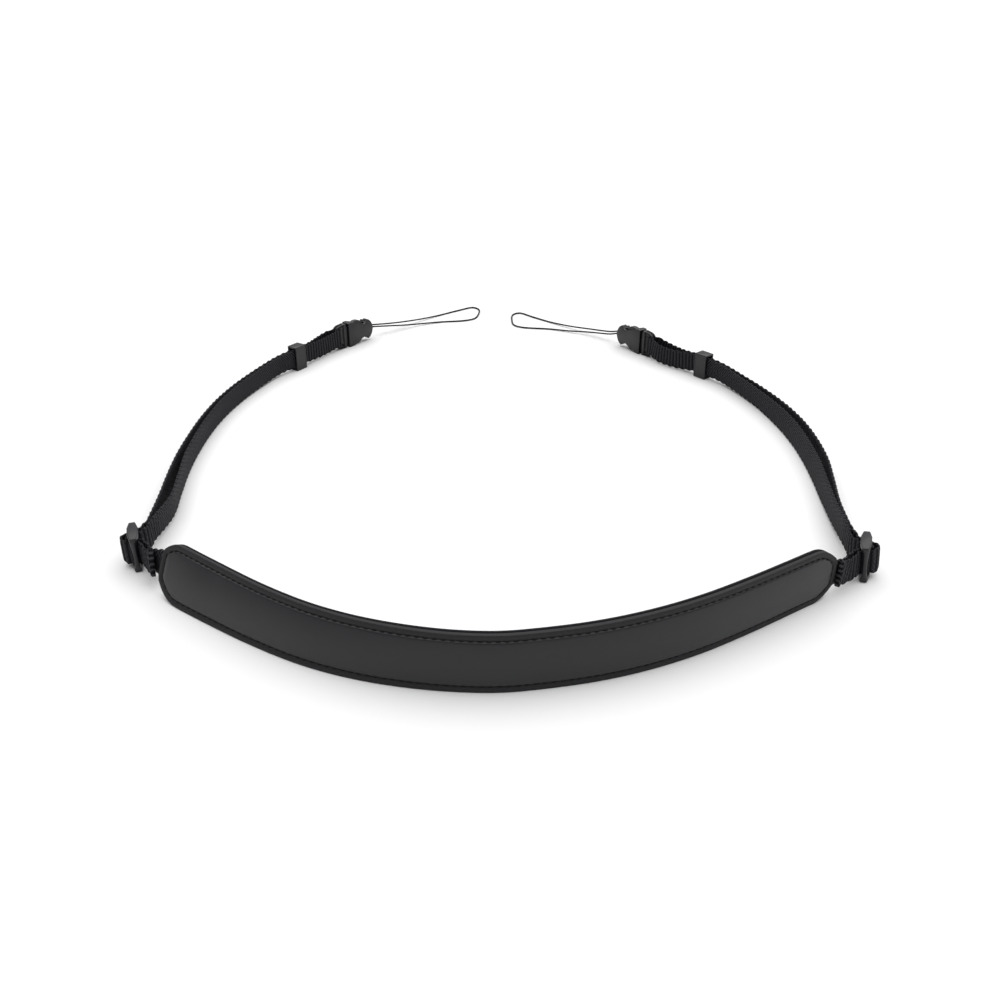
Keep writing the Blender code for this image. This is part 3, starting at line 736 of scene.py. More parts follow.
# %% Laying a panel
PANEL_THICK = 1.25 * MM
PANEL_GAP = 0.3 * MM
PAD_THICK = 2 * PANEL_THICK + PANEL_GAP
SEAT = 0.01 * MM
TURN_REACH = 0.5 * MM


def pad_frames(at):
    """Foot point, up and inward directions of the pad at some distances from its left tip."""
    foot = read_at(pad_places, pad_foot, at)
    up = unit(read_at(pad_places, pad_up, at))
    ahead = read_at(pad_places, pad_foot, np.minimum(at + TURN_REACH, pad_long))
    behind = read_at(pad_places, pad_foot, np.maximum(at - TURN_REACH, 0))
    return foot, up, unit(np.cross(up, ahead - behind))


def lay(at, risen, deep):
    """Points of the pad from distance along, rise and depth, never under the table."""
    foot, up, inward = pad_frames(at)
    spots = foot + up * risen[:, None] + inward * deep[:, None]
    spots[:, 2] = np.maximum(spots[:, 2], SEAT)
    return spots


# %% [markdown]
# ### The seam
# The seam runs parallel to the edge, all round the pad. Its line is the outline moved inward, without
# the points that come too close to another stretch of edge at the corners.

# %% Seam line
STITCH_PITCH = 2.78 * MM
SEAM_SLACK = 0.02 * MM


def seam_line():
    ahead = np.roll(outline, -1, axis=0) - np.roll(outline, 1, axis=0)
    inward = unit(np.stack([-ahead[:, 1], ahead[:, 0]], axis=1))
    moved = outline + inward * SEAM_IN
    return moved[nearest(moved, outline)[0] > SEAM_IN - SEAM_SLACK]


seam = seam_line()
seam_ring = np.concatenate([seam, seam[:1]])
seam_places = distances(seam_ring)
seam_long = seam_places[-1]
stitch_count = round(seam_long / STITCH_PITCH)
along_seam = nearest(flat, seam)[1].reshape(rise.shape)
print("seam:", round(seam_long / MM, 1), "mm with", stitch_count, "stitches")

# %% [markdown]
# ### Relief of the two panels
# The outer leather is turned over at its edge, so it stands a little proud of the plain panel. It has
# a full rounded rim, a deep seam and the padding from the simulation. The lining is the same cut with
# a flatter face. Each stitch tightens the leather where it goes in, so the groove's depth also swings
# once per stitch.

# %% Panel relief
EDGE_ROUND = 0.4 * MM
RIM_AT = 1.05 * MM
RIM_WIDE = 0.5 * MM
SEAM_WIDE = 0.32 * MM
PUCKER_WIDE = 1.6 * SEAM_WIDE


def bell(gap, wide):
    return np.exp(-((gap / wide) ** 2))


def relief(rim_high, seam_deep, pucker, padding_share):
    """How far the panel's face stands out at each point of the grid."""
    short = np.clip(EDGE_ROUND - from_edge, 0, EDGE_ROUND)
    high = np.sqrt(EDGE_ROUND**2 - short**2) - EDGE_ROUND
    high = high + rim_high * bell(from_edge - RIM_AT, RIM_WIDE)
    high = high - seam_deep * bell(from_edge - SEAM_IN, SEAM_WIDE)
    pull = np.cos(2 * np.pi * along_seam * stitch_count / seam_long)
    high = high - pucker * pull * bell(from_edge - SEAM_IN, PUCKER_WIDE)
    by_column = read_at(blown_wide, blown.T, across)
    return high + padding_share * read_at(blown_at, by_column.T, rows)


outer_high = relief(rim_high=0.12 * MM, seam_deep=0.40 * MM, pucker=0.08 * MM, padding_share=1.0)
inner_high = relief(rim_high=0.08 * MM, seam_deep=0.25 * MM, pucker=0.05 * MM, padding_share=0.25)
print("the outer leather stands out by up to", round(outer_high.max() / MM, 2), "mm")

# %% [markdown]
# ### The panels
# A panel's grid of points becomes its face, and seven more columns make the side that faces the other
# panel. That side has a shallow pocket at each end, where the webbing is sewn in between.

# %% Two panels
LEATHER_SWELL = 0.45 * MM
HIDDEN_ACROSS = (1.0, 0.97, 0.5, 0.0, -0.5, -0.97, -1.0)
EDGE_TUCK = 0.25 * MM
POCKET_LONG = 13.5 * MM
POCKET_HALF = 5.4 * MM
POCKET_DEEP = 0.62 * MM
POCKET_RISE = {"left": 11.9 * MM, "right": 8.9 * MM}
WORN_TO = SEAM_IN + 0.1 * MM
WORN_FADE = 0.3 * MM


def panel(name, high, face_deep, far_deep, finish):
    """A panel whose face lies face_deep into the pad and whose hidden side lies far_deep."""
    inside = 1.0 if far_deep > face_deep else -1.0
    hidden_rise = spread(rows, HIDDEN_ACROSS)
    hidden = np.full(hidden_rise.shape, far_deep)
    hidden[:, [0, -1]] -= inside * EDGE_TUCK
    for side, from_tip in (("left", rows), ("right", pad_long - rows)):
        mouth = (from_tip < POCKET_LONG)[:, None] & (abs(hidden_rise - POCKET_RISE[side]) < POCKET_HALF)
        hidden[mouth] = far_deep - inside * POCKET_DEEP
    risen = np.concatenate([rise, hidden_rise], axis=1)
    deep = np.concatenate([face_deep - inside * high, hidden], axis=1)
    at = np.repeat(rows, risen.shape[1])
    spots = lay(at, risen.ravel(), deep.ravel()).reshape(*risen.shape, 3)
    piece = smooth_body(name, spots, finish)
    worn = np.ones(risen.shape)
    worn[:, : rise.shape[1]] = np.clip((WORN_TO - from_edge) / WORN_FADE, 0, 1)
    mark(piece, "rim", worn)
    return piece


outer = panel("pad_outer_leather", outer_high, -LEATHER_SWELL, PANEL_THICK, leather)
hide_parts("pad_front")
inner = panel("pad_inner_lining", inner_high, PAD_THICK, PANEL_THICK + PANEL_GAP, lining)
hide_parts("pad_back")
print("panels:", len(outer.data.polygons), "and", len(inner.data.polygons), "faces")

# %% [markdown]
# ### Stitches
# One stitch is a short piece of thread that dips at both ends. It is modelled once, from a sphere
# stretched in edit mode, and a copy goes to every place on the seam, on both faces of the pad. All
# copies on a face share one mesh object, because hundreds of small objects would be slow to handle.

# %% One stitch and its copies
THREAD_ROUND = 0.23 * MM
STITCH_LONG = 1.95 * MM
STITCH_DIP = 0.6
STITCH_SUNK = 0.08 * MM
LOOK_AHEAD = 0.3 * MM


def one_stitch():
    """Points and faces of a stitch along x, with z out of the leather."""
    bpy.ops.object.select_all(action="DESELECT")
    bpy.ops.mesh.primitive_uv_sphere_add(segments=8, ring_count=6, radius=THREAD_ROUND)
    stitch = bpy.context.object
    bpy.ops.object.mode_set(mode="EDIT")
    bpy.ops.mesh.select_all(action="SELECT")
    bpy.ops.transform.rotate(value=math.pi / 2, orient_axis="Y", center_override=(0, 0, 0))
    bpy.ops.transform.resize(value=(STITCH_LONG / 2 / THREAD_ROUND, 1, 1), center_override=(0, 0, 0))
    bpy.ops.object.mode_set(mode="OBJECT")
    spots = np.array([v.co for v in stitch.data.vertices])
    spots[:, 2] -= STITCH_DIP * spots[:, 0] ** 2 / STITCH_LONG
    faces = [list(face.vertices) for face in stitch.data.polygons]
    bpy.data.objects.remove(stitch, do_unlink=True)
    return spots, faces


STITCH_SPOTS, STITCH_FACES = one_stitch()


def sewn_row(name, middles, ahead, out):
    """A stitch at each middle. It runs along ahead, and its back points to out."""
    ahead = unit(ahead)
    side = unit(np.cross(out, ahead))
    turns = np.stack([ahead, side, np.cross(ahead, side)], axis=1)
    spots = middles[:, None, :] + STITCH_SPOTS @ turns
    spots[:, :, 2] = np.maximum(spots[:, :, 2], SEAT)
    count = len(STITCH_SPOTS)
    faces = [[i + k * count for i in face] for k in range(len(middles)) for face in STITCH_FACES]
    new_piece(name, spots, faces, thread).data.shade_smooth()


def pad_stitches(name, deep, outward):
    """A stitch at every pitch of the seam, on one face of the pad."""
    at = (np.arange(stitch_count) + 0.5) / stitch_count * seam_long
    here = between(at, seam_places, seam_ring)
    there = between((at + LOOK_AHEAD) % seam_long, seam_places, seam_ring)
    depth = np.full(stitch_count, deep)
    middles = lay(here[:, 0], here[:, 1], depth)
    ahead = lay(there[:, 0], there[:, 1], depth) - middles
    inward = pad_frames(here[:, 0])[2]
    sewn_row(name, middles, ahead, inward * outward)


pad_stitches("pad_outer_stitches", STITCH_SUNK - LEATHER_SWELL, -1.0)
pad_stitches("pad_inner_stitches", PAD_THICK - STITCH_SUNK, 1.0)
print("stitches:", 2 * stitch_count, "of", len(STITCH_FACES), "faces")

# %% [markdown]
# ## The webbing
# Each side is one narrow band. It is sewn into the pad, runs round the glide and along the arm, turns
# round the buckle's bar, and comes back outside itself. The plain band is a row of rectangles, all as
# wide and as thick as the band, and those are easy to find: four corners with two long and two short
# sides. Counting steps along the edges from the sewn end puts them in order.

# %% Rings of a plain band
WEB_WIDTH = 10 * MM
WEB_THICK = 1.3 * MM
FIT = 0.001 * MM


def band_rings(node):
    """Corners of each ring of a plain band, in order from the end that is sewn into the pad."""
    mesh = merged(node)

    def over(corner, long):
        return {e.other_vert(corner) for e in corner.link_edges if abs(e.calc_length() - long) < FIT}

    rings = {
        frozenset((a, b, c, d))
        for a in mesh.verts
        for b in over(a, WEB_WIDTH)
        for d in over(a, WEB_THICK)
        for c in over(b, WEB_THICK) & over(d, WEB_WIDTH)
    }
    waiting = list(min(rings, key=lambda ring: sum(corner.co.y for corner in ring)))
    steps = {corner: 0 for corner in waiting}
    while waiting:
        here = waiting.pop(0)
        for edge in here.link_edges:
            there = edge.other_vert(here)
            if there not in steps:
                steps[there] = steps[here] + 1
                waiting.append(there)
    ordered = sorted(rings, key=lambda ring: sum(steps[corner] for corner in ring))
    return np.array([sorted([tuple(v.co) for v in ring], key=lambda p: p[2]) for ring in ordered])


def band_line(node):
    """Distance, middle and width direction of each ring."""
    rings = band_rings(node)
    middles = rings.mean(axis=1)
    ups = unit(rings[:, 2:].mean(axis=1) - rings[:, :2].mean(axis=1))
    return distances(middles), middles, ups


bands = {side: band_line("webbing_" + side) for side in SIDES}
print("webbing:", [(len(b[0]), round(b[0][-1] / MM, 1)) for b in bands.values()], "rings, mm")

# %% [markdown]
# ### The lie of the band
# The plain band ends square. The real one ends in a fold that is pressed flat: over its last two
# millimetres one face swells to about twice its height, and then both close in. So the band's path
# gets a few more rings there, and each ring says how far each of its two faces swells.

# %% Path of a band
RIB_PITCH = 1.95 * MM
RIB_STEPS = 6
FOLD = ((0.15, 1.0, 1.0), (0.25, 1.0, 1.7), (0.4, 1.0, 2.0), (0.9, 1.0, 2.1), (1.4, 1.0, 2.1),
        (1.7, 0.85, 1.9), (1.85, 0.6, 1.6))
FOLDED_FACE = {"left": 1.0, "right": -1.0}
UNFOLDED = 1.05


def band_path(side):
    """Distance, middle and width direction of each ring, and the swell of its two faces."""
    places, middles, ups = bands[side]
    at = np.linspace(0, places[-1], round(places[-1] / RIB_PITCH * RIB_STEPS))
    spots = read_at(places, middles, at)
    up = read_at(places, ups, at)
    fold = np.array(FOLD)
    ahead = unit(spots[-1:] - spots[-2:-1])
    swells = np.concatenate([np.ones((len(at), 2)), fold[:, 1:]])
    spots = np.concatenate([spots, spots[-1] + ahead * fold[:, :1] * MM])
    up = np.concatenate([up, np.repeat(up[-1:], len(fold), axis=0)])
    at = np.concatenate([at, at[-1] + fold[:, 0] * MM])
    return at, spots, up, swells


print("rings to a rib:", RIB_STEPS)

# %% [markdown]
# ### Where the band is strained
# Where the webbing is bent or pulled, between the keeper and the buckle and round the glide, its ribs
# stand out most. Elsewhere the slanting yarns hide them.

# %% Strain
STRAIN_GROWS = 4 * MM
GLIDE_REACH = 9 * MM
GLIDE_REACHES = 2.2


def node_middle(node):
    low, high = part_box(node)
    return (np.array(low) + np.array(high)) / 2


def strained(side, spots):
    """How strained the band is, from 0 to 1: fully beyond the keeper and at the glide."""
    beyond = spots[:, 1] - node_middle("keeper_" + side)[1]
    from_glide = np.linalg.norm(spots - node_middle("glide_" + side), axis=1)
    by_keeper = np.clip(beyond / STRAIN_GROWS, 0, 1)
    by_glide = np.clip(GLIDE_REACHES - from_glide / GLIDE_REACH, 0, 1)
    return np.clip(by_keeper + by_glide, 0, 1)


print("strained within", round((GLIDE_REACHES - 1) * GLIDE_REACH / MM, 1), "mm of a glide's middle")

# %% [markdown]
# ### The woven band
# Heavy cross ribs run over the band, and each second one makes a tooth at its edges. On the far face
# the ribs lie between those of the near one. Rings of points, six to a rib, carry all of this: a
# displacement would need a much finer mesh. The UV map gives the finer herringbone its place.

# %% Woven band
RIBS_TO_A_TOOTH = 2
RIB_DEEP = 0.32 * MM
RIB_CALM = 0.3
TOOTH = 0.1
SOFT_EDGE = 5
SECTION = (1.0, 0.985, 0.95, 0.89, 0.8, 0.66, 0.45, 0.2)

half_section = np.array(SECTION)
one_face = np.concatenate([-half_section, [0.0], half_section[::-1]])
wide = np.concatenate([one_face, one_face[-2:0:-1]])
face = np.where(np.arange(len(wide)) < len(one_face), 1.0, -1.0)
thick = face * (1 - abs(wide) ** SOFT_EDGE) ** (1 / SOFT_EDGE)


def band(side):
    at, spots, up, swells = band_path(side)
    along = unit(np.gradient(spots, axis=0))
    up = unit(up - along * (up * along).sum(axis=1, keepdims=True))
    out = np.cross(along, up)

    phase = 2 * np.pi * at / RIB_PITCH
    groove = swing(phase[:, None] + np.where(face > 0, 0.0, np.pi)) ** 2
    swell = np.where(face == FOLDED_FACE[side], swells[:, 1:], swells[:, :1])
    pulled = strained(side, spots)[:, None]
    shown = groove * (swell < UNFOLDED) * (RIB_CALM + (1 - RIB_CALM) * pulled)
    tooth = 1 - TOOTH * swing(phase / RIBS_TO_A_TOOTH)
    t = thick * (WEB_THICK / 2 * swell - RIB_DEEP * shown)
    w = wide * WEB_WIDTH / 2 * tooth[:, None]
    rings = spots[:, None] + up[:, None] * w[..., None] + out[:, None] * t[..., None]
    rings[..., 2] = np.maximum(rings[..., 2], SEAT)

    piece = smooth_body("webbing_band_" + side, rings, woven, angle=70)
    mark(piece, "grooves", shown)
    mark(piece, "strain", np.repeat(pulled, len(wide), axis=1))
    flat_map = np.stack([np.repeat(at / WEB_WIDTH, len(wide)), np.tile(wide / 2 + 0.5, len(at))], axis=1)
    corners = np.empty(len(piece.data.loops), np.int32)
    piece.data.loops.foreach_get("vertex_index", corners)
    piece.data.uv_layers.new(name="weave").data.foreach_set("uv", flat_map[corners].ravel())
    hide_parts("webbing_" + side)
    print(piece.name, len(piece.data.polygons), "faces")


for each in SIDES:
    band(each)

# %% [markdown]
# ## The moulded pieces
# Glide, keeper and the two buckle halves are moulded in one black plastic. Each is modelled once, in
# its own axes: x along the strap, y out of the ring, z up. A copy then goes to each side. Where a
# plain piece lies is read from it: it is symmetrical, so the principal directions of its surface are
# its own axes. A triangle's share in them is its area, times its corners and their sum, each
# multiplied by itself.

# %% Where a plain piece lies
def own_place(node):
    """Matrix from a piece's own axes to where its plain node lies. Its origin is at the node's low
    end along the strap, and in the middle of its other two extents."""
    mesh = merged(node)
    bmesh.ops.triangulate(mesh, faces=mesh.faces)
    triangles = np.array([[v.co for v in face.verts] for face in mesh.faces])
    areas = np.array([face.calc_area() for face in mesh.faces])
    corners = np.array([v.co for v in mesh.verts])
    middle = (triangles.mean(axis=1) * areas[:, None]).sum(axis=0) / areas.sum()
    away = triangles - middle
    three = away.sum(axis=1)
    shares = np.einsum("f,fci,fcj->ij", areas, away, away) + np.einsum("f,fi,fj->ij", areas, three, three)
    directions = [Vector(column) for column in np.linalg.eigh(shares)[1].T]
    up = max(directions, key=lambda d: abs(d.z))
    directions.remove(up)
    reach = [np.ptp(corners @ np.array(d)) for d in directions]
    along = directions[int(reach[1] > reach[0])]
    up = up if up.z > 0 else -up
    along = along if along.y > 0 else -along
    out = up.cross(along)
    out = out if out.dot(Vector(middle)) > 0 else -out
    low = [(corners @ np.array(d)).min() for d in (along, out, up)]
    high = [(corners @ np.array(d)).max() for d in (along, out, up)]
    origin = along * low[0] + out * (low[1] + high[1]) / 2 + up * (low[2] + high[2]) / 2
    turn = Matrix((along, out, up)).transposed().to_4x4()
    return Matrix.Translation(origin) @ turn


def put(master, node):
    """A copy of a finished piece, laid where its plain node lies."""
    copy = bpy.data.objects.new("moulded_" + node, master.data.copy())
    place = own_place(node)
    copy.data.transform(place)
    if place.determinant() < 0:
        copy.data.flip_normals()
    belongs(copy)
    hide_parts(node)


def put_on_both_sides(master, node):
    for side in SIDES:
        put(master, f"{node}_{side}")
    bpy.data.objects.remove(master, do_unlink=True)


for each in ("glide", "keeper", "buckle_male", "buckle_female"):
    turn = own_place(each + "_left")
    print(each, "points", round(math.degrees(math.atan2(turn[1][0], turn[0][0])), 1), "degrees on the left")

# %% [markdown]
# ### A few moves that every moulded piece needs
# Each is what a modeller does by hand: a flat outline pulled up into a plate, a block, a rod, one
# piece joined to another or cut with it, and all outer edges softened. Moulded plastic never has a
# knife edge, and that thin soft edge is what catches the light. All sizes here are in millimetres. A
# block that cuts an opening reaches a little past the piece, or right through it.

# %% Plates, blocks, rods, cuts and soft edges
ROD_SIDES = 28
SOFT_ANGLE = 35
SOFT_STEPS = 3
UPRIGHT = 0.99
PAST = 1
THROUGH = 9


def plate(outline, thick, middle=0.0):
    """An outline in the first two axes, pulled up along the third."""
    bpy.ops.object.select_all(action="DESELECT")
    bpy.ops.mesh.primitive_circle_add(vertices=len(outline), radius=MM, fill_type="NGON")
    made = bpy.context.object
    foot = middle - thick / 2
    for corner, (a, b) in zip(made.data.vertices, outline):
        corner.co = (a * MM, b * MM, foot * MM)
    bpy.ops.object.mode_set(mode="EDIT")
    bpy.ops.mesh.select_all(action="SELECT")
    bpy.ops.mesh.extrude_region_move(TRANSFORM_OT_translate={"value": (0, 0, thick * MM)})
    bpy.ops.mesh.select_all(action="SELECT")
    bpy.ops.mesh.normals_make_consistent(inside=False)
    bpy.ops.object.mode_set(mode="OBJECT")
    return made


def block(low, high):
    """A block between two corners."""
    low, high = Vector(low) * MM, Vector(high) * MM
    bpy.ops.object.select_all(action="DESELECT")
    bpy.ops.mesh.primitive_cube_add(size=1, location=(low + high) / 2, scale=high - low)
    bpy.ops.object.transform_apply(location=True, rotation=False, scale=True)
    return bpy.context.object


def opening(size, low, high):
    """A block that cuts an opening of some thickness and height, from low to high along the strap."""
    thick, tall = size
    return block((low, -thick / 2, -tall / 2), (high, thick / 2, tall / 2))


def rod(at, foot, radius, top_radius, long, squash=1.0):
    """A rod or cone at some distance along, standing on foot, narrower along the strap by squash."""
    bpy.ops.object.select_all(action="DESELECT")
    bpy.ops.mesh.primitive_cone_add(
        vertices=ROD_SIDES, radius1=radius * MM, radius2=top_radius * MM, depth=long * MM,
        location=Vector((at, 0, foot + long / 2)) * MM, scale=(squash, 1, 1),
    )
    bpy.ops.object.transform_apply(location=True, rotation=False, scale=True)
    return bpy.context.object


def apply(piece, kind, **settings):
    change = alone(piece).modifiers.new(kind.lower(), kind)
    for setting, value in settings.items():
        setattr(change, setting, value)
    bpy.ops.object.modifier_apply(modifier=change.name)


def join(piece, *tools, operation="UNION"):
    for tool in tools:
        apply(piece, "BOOLEAN", operation=operation, solver="EXACT", object=tool)
        bpy.data.objects.remove(tool, do_unlink=True)
    return piece


def cut(piece, *tools):
    return join(piece, *tools, operation="DIFFERENCE")


def soften(piece, radius):
    apply(piece, "BEVEL", width=radius * MM, segments=SOFT_STEPS, limit_method="ANGLE",
          angle_limit=math.radians(SOFT_ANGLE), use_clamp_overlap=True)
    return piece


def sunk(piece, rim, fall, depth):
    """Sinks the plate's two broad faces inside a rim, with sides that lean by fall."""
    alone(piece)
    bpy.ops.object.mode_set(mode="EDIT")
    bpy.ops.mesh.select_mode(type="FACE")
    bpy.ops.mesh.select_all(action="DESELECT")
    bpy.ops.object.mode_set(mode="OBJECT")
    top = max(v.co.z for v in piece.data.vertices)
    for broad in piece.data.polygons:
        broad.select = abs(broad.normal.z) > UPRIGHT and abs(abs(broad.center.z) - top) < FIT
    bpy.ops.object.mode_set(mode="EDIT")
    bpy.ops.mesh.inset(thickness=rim * MM, use_individual=True)
    bpy.ops.mesh.inset(thickness=fall * MM, depth=-depth * MM, use_individual=True)
    bpy.ops.object.mode_set(mode="OBJECT")
    return piece


def stood_up(piece):
    """Turns a plate that was made lying down, so that its outline stands."""
    alone(piece)
    bpy.ops.object.mode_set(mode="EDIT")
    bpy.ops.mesh.select_all(action="SELECT")
    bpy.ops.transform.rotate(value=-math.pi / 2, orient_axis="X", center_override=(0, 0, 0))
    bpy.ops.object.mode_set(mode="OBJECT")
    return piece


def moulded(piece):
    piece.data.materials.clear()
    piece.data.materials.append(plastic.material)
    shade(piece, SOFT_ANGLE)
    return piece


print("edges sharper than", SOFT_ANGLE, "degrees are softened")

# %% [markdown]
# ### Keeper
# A plain rectangular sleeve that holds the two layers of webbing together. Its broad faces are
# slightly sunk inside a narrow rim. It starts as a plate, a long block cuts its hole, and two short
# ones widen the mouths.

# %% Keeper
KEEPER_LONG = 7.4
KEEPER_THICK = 6.0
KEEPER_TALL = 13.0
KEEPER_HOLE = (3.5, 10.6)
KEEPER_MOUTH = (4.8, 11.8)
MOUTH_DEEP = 0.8

half = KEEPER_TALL / 2
keeper = plate([(0, -half), (KEEPER_LONG, -half), (KEEPER_LONG, half), (0, half)], KEEPER_THICK)
stood_up(sunk(soften(keeper, radius=0.3), rim=0.25, fall=0.12, depth=0.12))
cut(keeper, opening(KEEPER_HOLE, -PAST, KEEPER_LONG + PAST))
for low, high in ((-PAST, MOUTH_DEEP), (KEEPER_LONG - MOUTH_DEEP, KEEPER_LONG + PAST)):
    cut(keeper, opening(KEEPER_MOUTH, low, high))
put_on_both_sides(moulded(keeper), "keeper")
print("keeper:", KEEPER_LONG, "x", KEEPER_THICK, "x", KEEPER_TALL, "mm")

# %% [markdown]
# ### Glide
# Two long hexagonal rails, above and below the webbing, are joined by three upright bars. The outer
# bars swell where they meet the rails. Rails are plates with soft edges, bars are rods and cones, and
# Booleans make one body of them, as the real one is one moulding.

# %% Glide
GLIDE_TALL = 14.0
GLIDE_MIDDLE = 6.5
RAIL = 1.7
RAIL_OUTLINE = ((-6.5, -1.15), (-2.6, -1.95), (2.6, -1.95), (6.5, -1.15),
                (6.5, 1.15), (2.6, 1.95), (-2.6, 1.95), (-6.5, 1.15))
BARS_APART = 5.5
BAR_ROOT = 0.5
BAR_LONG = GLIDE_TALL - 2 * RAIL + 2 * BAR_ROOT
MIDDLE_BAR = 1.0
OUTER_BAR = 0.86
FLARES = (
    {"foot": 0.4, "radius": 0.84, "top_radius": 1.36, "long": 5.2, "squash": 0.7},
    {"foot": -5.6, "radius": 1.3, "top_radius": 0.84, "long": 2.6, "squash": 0.7},
)

rail_rows = [(a + GLIDE_MIDDLE, b) for a, b in RAIL_OUTLINE]
rail_up = (GLIDE_TALL - RAIL) / 2
glide = join(*[soften(plate(rail_rows, RAIL, middle), radius=0.38) for middle in (-rail_up, rail_up)])
join(glide, rod(GLIDE_MIDDLE, -BAR_LONG / 2, MIDDLE_BAR, MIDDLE_BAR, BAR_LONG))
for bar in (GLIDE_MIDDLE - BARS_APART, GLIDE_MIDDLE + BARS_APART):
    join(glide, rod(bar, -BAR_LONG / 2, OUTER_BAR, OUTER_BAR, BAR_LONG))
    join(glide, *[rod(bar, **flare) for flare in FLARES])
put_on_both_sides(moulded(glide), "glide")
print("glide: rails", RAIL, "mm thick,", GLIDE_TALL, "mm over both")

# %% [markdown]
# ### Buckle, the half with the bar
# A rim in the shape of a D holds the bar that the webbing turns round. Behind the rim is a stop
# plate, and beyond it the tongue with its two spring arms, which show through the other half's sides.
# The rim's faces are sunk and a groove runs along its edge, so that the edge shows as two thin lines.
# All of it is the same above and below its middle, so each outline is a list of half widths.

# %% Buckle half with the bar
RIM_THICK = 3.0
RIM_ROWS = ((0.0, 3.6), (0.15, 4.6), (0.6, 5.6), (1.5, 6.35), (2.8, 6.7), (4.6, 6.85), (7.2, 6.85))
GROOVE_DEEP = 0.5
GROOVE_WIDE = 1.2
LIP_THICK = 2.8
LIP_ROWS = ((1.5, 3.9), (1.8, 4.9), (2.5, 5.6), (3.4, 5.85), (6.4, 5.85))
SLOT_LOW = (2.6, -5.35)
SLOT_HIGH = (5.8, 5.35)
STOP_THICK = 3.6
STOP_ROWS = ((5.6, 6.9), (7.3, 6.9))
TONGUE_THICK = 2.6
ARM_ROWS = (
    (7.2, 5.2), (11.0, 5.2), (12.0, 5.5), (13.2, 6.3), (14.6, 6.75), (16.4, 6.7), (17.8, 6.35), (19.0, 5.7),
    (19.9, 4.9), (20.3, 4.1), (20.1, 3.3), (18.2, 3.6), (16.2, 4.4), (13.8, 4.3), (12.2, 3.4), (11.4, 2.4),
    (11.5, 0.8), (20.2, 0.8),
)


def both_halves(rows):
    """A closed outline from half widths, the same above and below the middle."""
    return [(u, half) for u, half in rows] + [(u, -half) for u, half in reversed(rows)]


def edge_groove(rows):
    """A ring that cuts a groove along the edge of a plate with these rows."""
    around = plate(both_halves([(u - PAST, half + PAST) for u, half in rows]), GROOVE_WIDE)
    kept = plate(both_halves([(u + GROOVE_DEEP, half - GROOVE_DEEP) for u, half in rows]), 2 * GROOVE_WIDE)
    return cut(around, kept)


bar_half = cut(plate(both_halves(RIM_ROWS), RIM_THICK), edge_groove(RIM_ROWS))
sunk(soften(bar_half, radius=0.2), rim=0.25, fall=0.35, depth=0.55)
join(bar_half, soften(plate(both_halves(LIP_ROWS), LIP_THICK), radius=0.25))
cut(bar_half, block((*SLOT_LOW, -THROUGH), (*SLOT_HIGH, THROUGH)))
stop = soften(plate(both_halves(STOP_ROWS), STOP_THICK), radius=0.3)
tongue = soften(plate(both_halves(ARM_ROWS), TONGUE_THICK), radius=0.25)
join(bar_half, stop, tongue)
put_on_both_sides(moulded(stood_up(bar_half)), "buckle_male")
print("buckle half with the bar:", round(max(u for u, _ in ARM_ROWS), 1), "mm long")

# %% [markdown]
# ### Buckle, the half with the cord
# A flat box narrows to a neck and opens again into a thinner fan. It is open at the collar, where the
# tongue goes in, and at both sides, where the spring arms are pressed. The cord leaves through a
# small hole in the middle of the fan's edge.

# %% Buckle half with the cord
SHELL_THICK = 5.4
SHELL_ROWS = (
    (0.0, 6.95), (2.6, 6.95), (4.4, 6.3), (7.4, 5.2), (10.6, 4.1), (11.6, 3.85), (12.7, 3.9), (13.5, 4.35),
    (14.0, 5.0), (14.4, 5.45), (14.9, 5.6), (15.6, 5.4), (16.5, 4.7), (17.3, 3.8), (18.0, 2.6), (18.4, 1.5),
    (18.6, 0.6),
)
SHELL_LONG = SHELL_ROWS[-1][0]
FAN_FROM = 14.0
FAN_FACE = 0.95
COLLAR_ROOM = (3.2, 11.2)
COLLAR_DEEP = 3.3
WINDOW = (COLLAR_ROOM[0], 2 * THROUGH)
WINDOW_FROM = 2.8
WINDOW_TO = 13.2
SHELL_MOUTH = (4.3, 12.2)
CORD_HOLE = (1.1, 2.3)
CORD_HOLE_FROM = 16.4

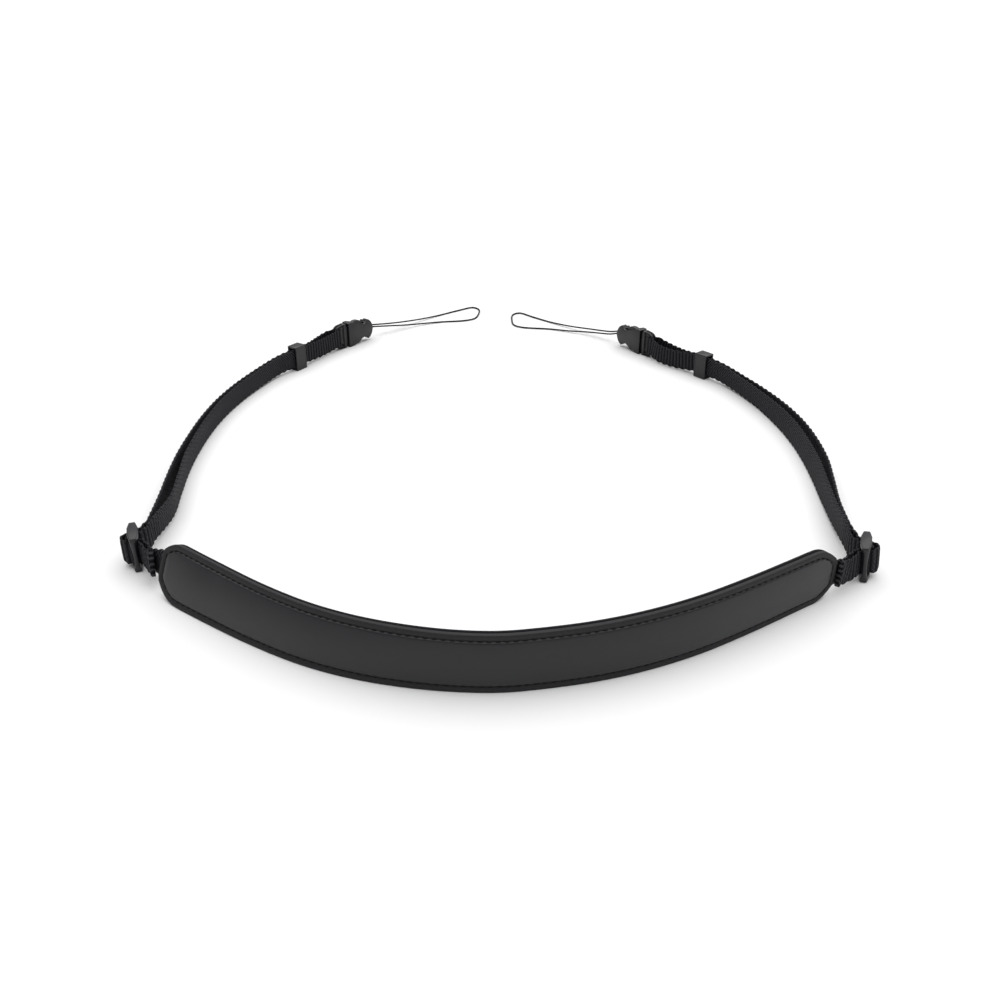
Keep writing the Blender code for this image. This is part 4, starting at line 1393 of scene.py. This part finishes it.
shell = stood_up(plate(both_halves(SHELL_ROWS), SHELL_THICK))
cut(shell, block((FAN_FROM, FAN_FACE, -THROUGH), (SHELL_LONG + PAST, SHELL_THICK, THROUGH)))
soften(shell, radius=0.35)
cut(shell, opening(COLLAR_ROOM, -PAST, COLLAR_DEEP), opening(WINDOW, WINDOW_FROM, WINDOW_TO))
cut(shell, opening(SHELL_MOUTH, -PAST, MOUTH_DEEP), opening(CORD_HOLE, CORD_HOLE_FROM, SHELL_LONG + PAST))
put_on_both_sides(moulded(shell), "buckle_female")
print("buckle half with the cord:", SHELL_LONG, "mm long")

# %% [markdown]
# ## The table and the light
# A plain white table runs far back behind the strap. One wide soft light hangs overhead: a sun lamp
# with a broad spread, which lights the whole table evenly. The room is pale near the horizon, as a
# studio's backdrop is, and dim above, so that black things show their upper edges bright and their
# fronts dark.

# %% Table and lights
TABLE_HALF = 8.0
LIGHT_STRENGTH = 3.85
LIGHT_SPREAD = 100.0
LIGHT_TURN = (-12.0, 4.0, 0.0)
ROOM_GREY = 0.1
BACKDROP_GREY = 0.75
BACKDROP_TOP = 0.5

bpy.ops.object.select_all(action="DESELECT")
bpy.ops.mesh.primitive_plane_add(size=2 * TABLE_HALF, location=(0, 0, -SEAT))
table = bpy.context.object
table.name = "table"
table_white = Finish("plain_white_table", (0.83, 0.83, 0.83), roughness=0.9, specular=0.1)
table.data.materials.append(table_white.material)
table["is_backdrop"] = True

sun = bpy.data.objects.new("soft_light", bpy.data.lights.new("soft_light", "SUN"))
sun.data.energy = LIGHT_STRENGTH
sun.data.angle = math.radians(LIGHT_SPREAD)
sun.rotation_euler = [math.radians(turn) for turn in LIGHT_TURN]
bpy.context.collection.objects.link(sun)

room = bpy.data.worlds.new("room")
room.use_nodes = True
air = Nodes(room.node_tree)
toward = air.node("ShaderNodeTexCoord", output="Generated")
height = air.node("ShaderNodeSeparateXYZ", {}, {"Vector": toward}, output="Z")
greys = ((0, (BACKDROP_GREY,) * 3), (BACKDROP_TOP, (ROOM_GREY,) * 3))
backdrop = air.node("ShaderNodeValToRGB", {"stops": greys}, {"Fac": height})
air.join(room.node_tree.nodes["Background"].inputs["Color"], backdrop)
bpy.context.scene.world = room
bpy.context.scene.view_settings.view_transform = "Standard"
print("light:", LIGHT_STRENGTH, "over", LIGHT_SPREAD, "degrees")

# %% [markdown]
# ## Done
# The size of the dressed strap is printed last.

# %% Finish
low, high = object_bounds()
print("dressed model:", [round(size / MM, 1) for size in high - low], "mm")
